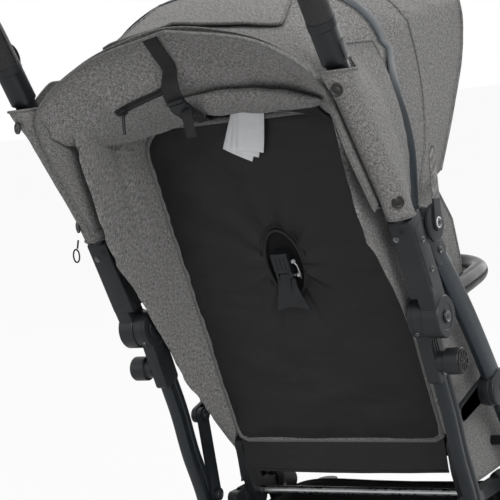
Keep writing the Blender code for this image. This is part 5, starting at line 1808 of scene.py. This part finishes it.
class PUSHCHAIR_OT_joints(bpy.types.Operator):
    """Moulded joint casings, hubs, accessory faces, clamps, hinge caps and their screws"""
    bl_idname = "pushchair.joints"
    bl_label = "Joint covers"

    def execute(self, context):
        for tag, side in SIDES:
            out = (side, 0, 0)
            # push casing: squared body with a raised outer panel and a lug to the canopy hinge
            body_a, body_b = (-0.0180, 0.0400), (-0.0540, 0.1255)
            shell = [plate("body", side, 0.2052, 0.2363, corners(body_a, body_b, 0.0166, 0.0045, 0.004),
                           0.0026),
                     plate("panel", side, 0.2358, 0.2371,
                           corners((-0.0215, 0.0480), (-0.0505, 0.1170), 0.0118, 0.0035),
                           0.0007),
                     plate("neck", side, 0.2139, 0.2353,
                           corners((-0.0078, 0.0176), (-0.0200, 0.0450), 0.0168, 0.004), 0.0018),
                     plate("lug", side, 0.2248, 0.2348,
                           [(-0.0450, 0.1080, 0.0140), (-0.0272, 0.1130, 0.0134)], 0.0016),
                     turned("lug_eye", side, HINGE,
                            [(0.2248, 0.0056), (0.2248, 0.0184), (0.2256, 0.0192), (0.2340, 0.0192),
                                                     (0.2348, 0.0184), (0.2348, 0.0056), (0.2248, 0.0056)],
                                                     44),
                     plate("rear_rib", side, 0.2100, 0.2310,
                           corners((-0.0345, 0.0500), (-0.0640, 0.1180), 0.0030, 0.0012),
                           0.0008)]
            ring = turned("ring", side, (0, 0),
                          [(0.2140, 0.0066), (0.2140, 0.0262), (0.2148, 0.0268), (0.2350, 0.0268),
                                                 (0.2368, 0.0255), (0.2368, 0.0170), (0.2361, 0.0162),
                                                 (0.2361, 0.0066)], 56)
            ride("push_casing_shell_" + tag, shell + [ring], "casing", "push_bar", "frame_black",
                 ["push_casing_" + tag])

            hub = turned("hub", side, (0, 0),
                         [(0.1930, 0.0), (0.1930, 0.0125), (0.1937, 0.0133), (0.1937, 0.0230),
                                               (0.1950, 0.0252), (0.2134, 0.0252), (0.2134, 0.0060),
                                               (0.2366, 0.0060), (0.2366, 0.0082), (0.2372, 0.0086),
                                               (0.2378, 0.0082), (0.2378, 0.0)], 56)
            groove = turned("groove", side, (0, 0),
                            [(0.1985, 0.0250), (0.1988, 0.0256), (0.1998, 0.0256), (0.2001, 0.0250)],
                            56)
            arm = plate("arm", side, 0.1955, 0.2134,
                        corners((0.0050, -0.0120), (0.0250, -0.0740), 0.0170, 0.0055, 0.004),
                        0.0020)
            ribs = [plate("rib", side, 0.2132, 0.2146,
                          corners((0.0060 + 0.006 * k, -0.030), (0.0175 + 0.006 * k, -0.066),
                                                               0.0012, 0.0006), 0.0004) for k in (-1, 0, 1)]
            neck = turned("boss", side, BOSS, [(0.2125, 0.0), (0.2125, 0.0133), (0.2232, 0.0133),
                                                         (0.2240, 0.0160), (0.2248, 0.0168), (0.2432, 0.0168),
                                                         (0.2443, 0.0160), (0.2443, 0.0)], 56)
            ride("main_hub_shell_" + tag, [hub, groove, arm, neck] + ribs, "casing", "chassis", "frame_black",
                 ["pivot_hub_" + tag])
            rim = turned("rim", side, BOSS, [(0.2446, 0.0128), (0.2446, 0.0155), (0.2452, 0.0155),
                                                       (0.2454, 0.0150), (0.2454, 0.0132), (0.2452, 0.0128),
                                                       (0.2446, 0.0128)], 56)
            spokes = []
            for k in range(8):
                a = pi * k / 4 + 0.2
                r = Vector((0, cos(a), sin(a)))
                spokes.append(block_at("spoke", at(side * 0.2450, *BOSS) + r * 0.0082,
                                       (0.0024, 0.0100, 0.0009),
                                       r, Vector(out), 0.0003))
            spokes.append(turned("middle", side, BOSS, [(0.2446, 0.0), (0.2446, 0.0036), (0.2453, 0.0036),
                                                                  (0.2455, 0.0030), (0.2455, 0.0)], 24))
            ride("accessory_star_" + tag, [rim] + spokes, "gloss", "chassis", "frame_black")
            # Matte dark disc on the boss face between the raised spokes: painted shade standing in for the shaded
            # slots of the star.
            floor = turned("floor", side, BOSS, [(0.2444, 0.0), (0.2444, 0.0130), (0.2448, 0.0130),
                                                           (0.2448, 0.0)], 40)
            ride("accessory_shade_disc_" + tag, [floor], "tyre", "chassis", "frame_black")

            cap = turned("cap", side, HINGE,
                         [(0.1913, 0.0), (0.1913, 0.0062), (0.1917, 0.0080), (0.1943, 0.0080),
                                              (0.1943, 0.0050), (0.2362, 0.0050), (0.2362, 0.0228),
                                              (0.2370, 0.0235),
                                              (0.2398, 0.0235), (0.2409, 0.0224), (0.2414, 0.0206),
                                              (0.2414, 0.0)], 60)
            ride("hinge_cap_shell_" + tag, [cap], "casing", "push_bar", "frame_black", ["hinge_cap_" + tag])
            bezel = turned("bezel", side, HINGE,
                           [(0.2446, 0.0052), (0.2446, 0.0070), (0.2452, 0.0070), (0.2455, 0.0065),
                                                  (0.2455, 0.0057), (0.2452, 0.0052), (0.2446, 0.0052)], 40)
            ride("hinge_bezel_" + tag, [bezel], "label", "canopy_mid", "steel")
            heads = [screw(at(side * 0.2452, *HINGE), out, 0.0048),
                     screw(at(side * 0.2372, -0.0280, 0.0640), out, 0.0040),
                     screw(at(side * 0.2372, -0.0440, 0.1020), out, 0.0040),
                     screw(at(side * 0.2180, -0.0760, 0.1075), (0, -0.92, -0.38), 0.0038)]
            ride("casing_screws_" + tag, heads, "screw", "push_bar", "steel")
            heads = [screw(at(side * 0.2380, 0.0, 0.0), out, 0.0070),
                     screw(at(side * 0.2142, 0.0230, -0.0740), out, 0.0042),
                     screw(at(side * 0.2030, -0.0175, -0.0180), (0, -0.7, -0.7), 0.0030)]
            ride("hub_screws_" + tag, heads, "screw", "chassis", "steel")

            # link bracket, lower casting and link
            clamp = [plate("clamp", side, 0.2046, 0.2284, [(*BRACKET, 0.0218), (*BRACKET_REAR, 0.0203)],
                           0.0024),
                     plate("band", side, 0.2120, 0.2210, [(*BRACKET, 0.0228), (*BRACKET_REAR, 0.0213)],
                           0.0008),
                     plate("lug", side, 0.1984, 0.2060, [(*LINK_TOP, 0.0107), (*BRACKET_REAR, 0.0132)],
                           0.0012)]
            ride("link_bracket_shell_" + tag, clamp, "casing", "front_frame", "frame_black")
            cast = [plate("casting", side, 0.2037, 0.2293, [(*CASTING_TOP, 0.0193), (*CASTING_FOOT, 0.0223)],
                          0.0026),
                    plate("cover", side, 0.2290, 0.2302, [(*CASTING_TOP, 0.0125), (*CASTING_FOOT, 0.0150)],
                          0.0006)]
            ride("front_casting_shell_" + tag, cast, "casing", "front_frame", "frame_black")
            heads = [screw(at(side * 0.2290, 0.1640, -0.1250), out, 0.0042),
                     screw(at(side * 0.2308, 0.2440, -0.2430), out, 0.0042),
                     screw(at(side * 0.2308, 0.2720, -0.2850), out, 0.0042),
                     screw(at(side * 0.1870, *LINK_TOP), (-side, 0, 0), 0.0060)]
            ride("frame_screws_" + tag, heads, "screw", "front_frame", "steel")
            ride("leg_screw_" + tag, [screw(at(side * 0.1866, *LINK_FOOT), (-side, 0, 0), 0.0062)], "screw",
                 "chassis",
                 "steel")
        return {'FINISHED'}


class PUSHCHAIR_OT_recline(bpy.types.Operator):
    """Recline housing with cable end and guide, and the flared squeeze paddle"""
    bl_idname = "pushchair.recline"
    bl_label = "Recline grip"

    def execute(self, context):
        rows = []
        for i in range(22):
            v, row = i / 21, []
            half = 0.0140 + 0.0115 * ease(v) ** 1.2
            for k in range(25):
                w = 2 * k / 24 - 1
                u = 0.2660 - 0.0400 * v - 0.0050 * v * w * w + 0.0035 * v * (1 - w * w)
                n = -0.0205 - 0.0095 * sin(v * pi / 2) ** 1.3 + 0.0035 * w * w * (0.4 + 0.6 * v)
                row.append(back_point(half * w + 0.0030 * v * v, u, n))
            rows.append(row)
        paddle = facing(grid_mesh("paddle", rows), at(0, 0.3, 0.0))
        modify(paddle, 'SOLIDIFY', thickness=0.0032, offset=-1.0)
        modify(paddle, 'BEVEL', width=0.0010, segments=2, limit_method='ANGLE', angle_limit=radians(50))
        smooth(paddle, 50)
        neck = plate("neck", 1, -0.0074, 0.0074, [(*side_back(0.2700, -0.0150), 0.0054),
                                                  (*side_back(0.2560, -0.0190), 0.0050),
                                                  (*side_back(0.2480, -0.0225), 0.0036)], 0.0010)
        ride("recline_paddle", [paddle, neck], "plastic", "recline_grip", "frame_black", ["recline_lever"])

        shell = [plate("shell", 1, -0.0122, 0.0122,
                       [(*side_back(0.2800, -0.0180), 0.0040), (*side_back(0.3000, -0.0180), 0.0040),
                                                    (*side_back(0.2800, -0.0108), 0.0035),
                                                    (*side_back(0.3000, -0.0108), 0.0035)], 0.0014)]
        shell += [plate("rib", 1, x - 0.0008, x + 0.0008, [(*side_back(0.2820, -0.0205), 0.0022),
                                                         (*side_back(0.2980, -0.0205), 0.0022)], 0.0005)
                  for x in (-0.006, 0.0, 0.006)]
        ride("recline_shell", shell, "plastic", "backrest", "frame_black")
        metal_parts = [tube("cable", [back_point(0.0130, 0.2880, -0.0150),
                                      back_point(0.0200, 0.2860, -0.0170),
                                      back_point(0.0215, 0.2740, -0.0165),
                                      back_point(0.0190, 0.2640, -0.0130)], 0.0012, 8,
                            20),
                       screw(back_point(0.0165, 0.2900, -0.0155), (0.2, -0.95, -0.3), 0.0032),
                       screw(back_point(0.0185, 0.2700, -0.0150), (0.3, -0.95, -0.3), 0.0028),
                       tube("pin", [back_point(-0.0135, 0.2700, -0.0150),
                                    back_point(0.0150, 0.2700, -0.0150)], 0.0020, 12)]
        ride("recline_fittings", metal_parts, "steel", "backrest", "steel")
        return {'FINISHED'}


class PUSHCHAIR_PT_panel(bpy.types.Panel):
    """Lists the pushchair's pieces in the order they are made"""
    bl_idname = "PUSHCHAIR_PT_panel"
    bl_label = "Pushchair"
    bl_space_type = 'VIEW_3D'
    bl_region_type = 'UI'
    bl_category = "Pushchair"

    def draw(self, context):
        for group in (context.scene.pushchair_cloth, context.scene.pushchair_frame):
            for name in group.__annotations__:
                self.layout.prop(group, name)
        for operator in PIECES:
            self.layout.operator(operator.bl_idname)


PIECES = (PUSHCHAIR_OT_stage, PUSHCHAIR_OT_finishes, PUSHCHAIR_OT_canopy, PUSHCHAIR_OT_sleeves,
          PUSHCHAIR_OT_drape,
          PUSHCHAIR_OT_back_cover, PUSHCHAIR_OT_wings, PUSHCHAIR_OT_cushions, PUSHCHAIR_OT_harness,
          PUSHCHAIR_OT_skirt, PUSHCHAIR_OT_basket, PUSHCHAIR_OT_tubes, PUSHCHAIR_OT_joints,
          PUSHCHAIR_OT_recline)


def register():
    for group in (ClothSettings, FrameSettings):
        bpy.utils.register_class(group)
    bpy.types.Scene.pushchair_cloth = bpy.props.PointerProperty(type=ClothSettings)
    bpy.types.Scene.pushchair_frame = bpy.props.PointerProperty(type=FrameSettings)
    for item in PIECES + (PUSHCHAIR_PT_panel,):
        bpy.utils.register_class(item)


def unregister():
    for item in reversed(PIECES + (PUSHCHAIR_PT_panel,)):
        bpy.utils.unregister_class(item)
    del bpy.types.Scene.pushchair_frame, bpy.types.Scene.pushchair_cloth
    for group in (FrameSettings, ClothSettings):
        bpy.utils.unregister_class(group)


def main():
    register()
    for operator in PIECES:
        name = operator.bl_idname.split(".")[1]
        getattr(bpy.ops.pushchair, name)()


if __name__ == "__main__":
    main()
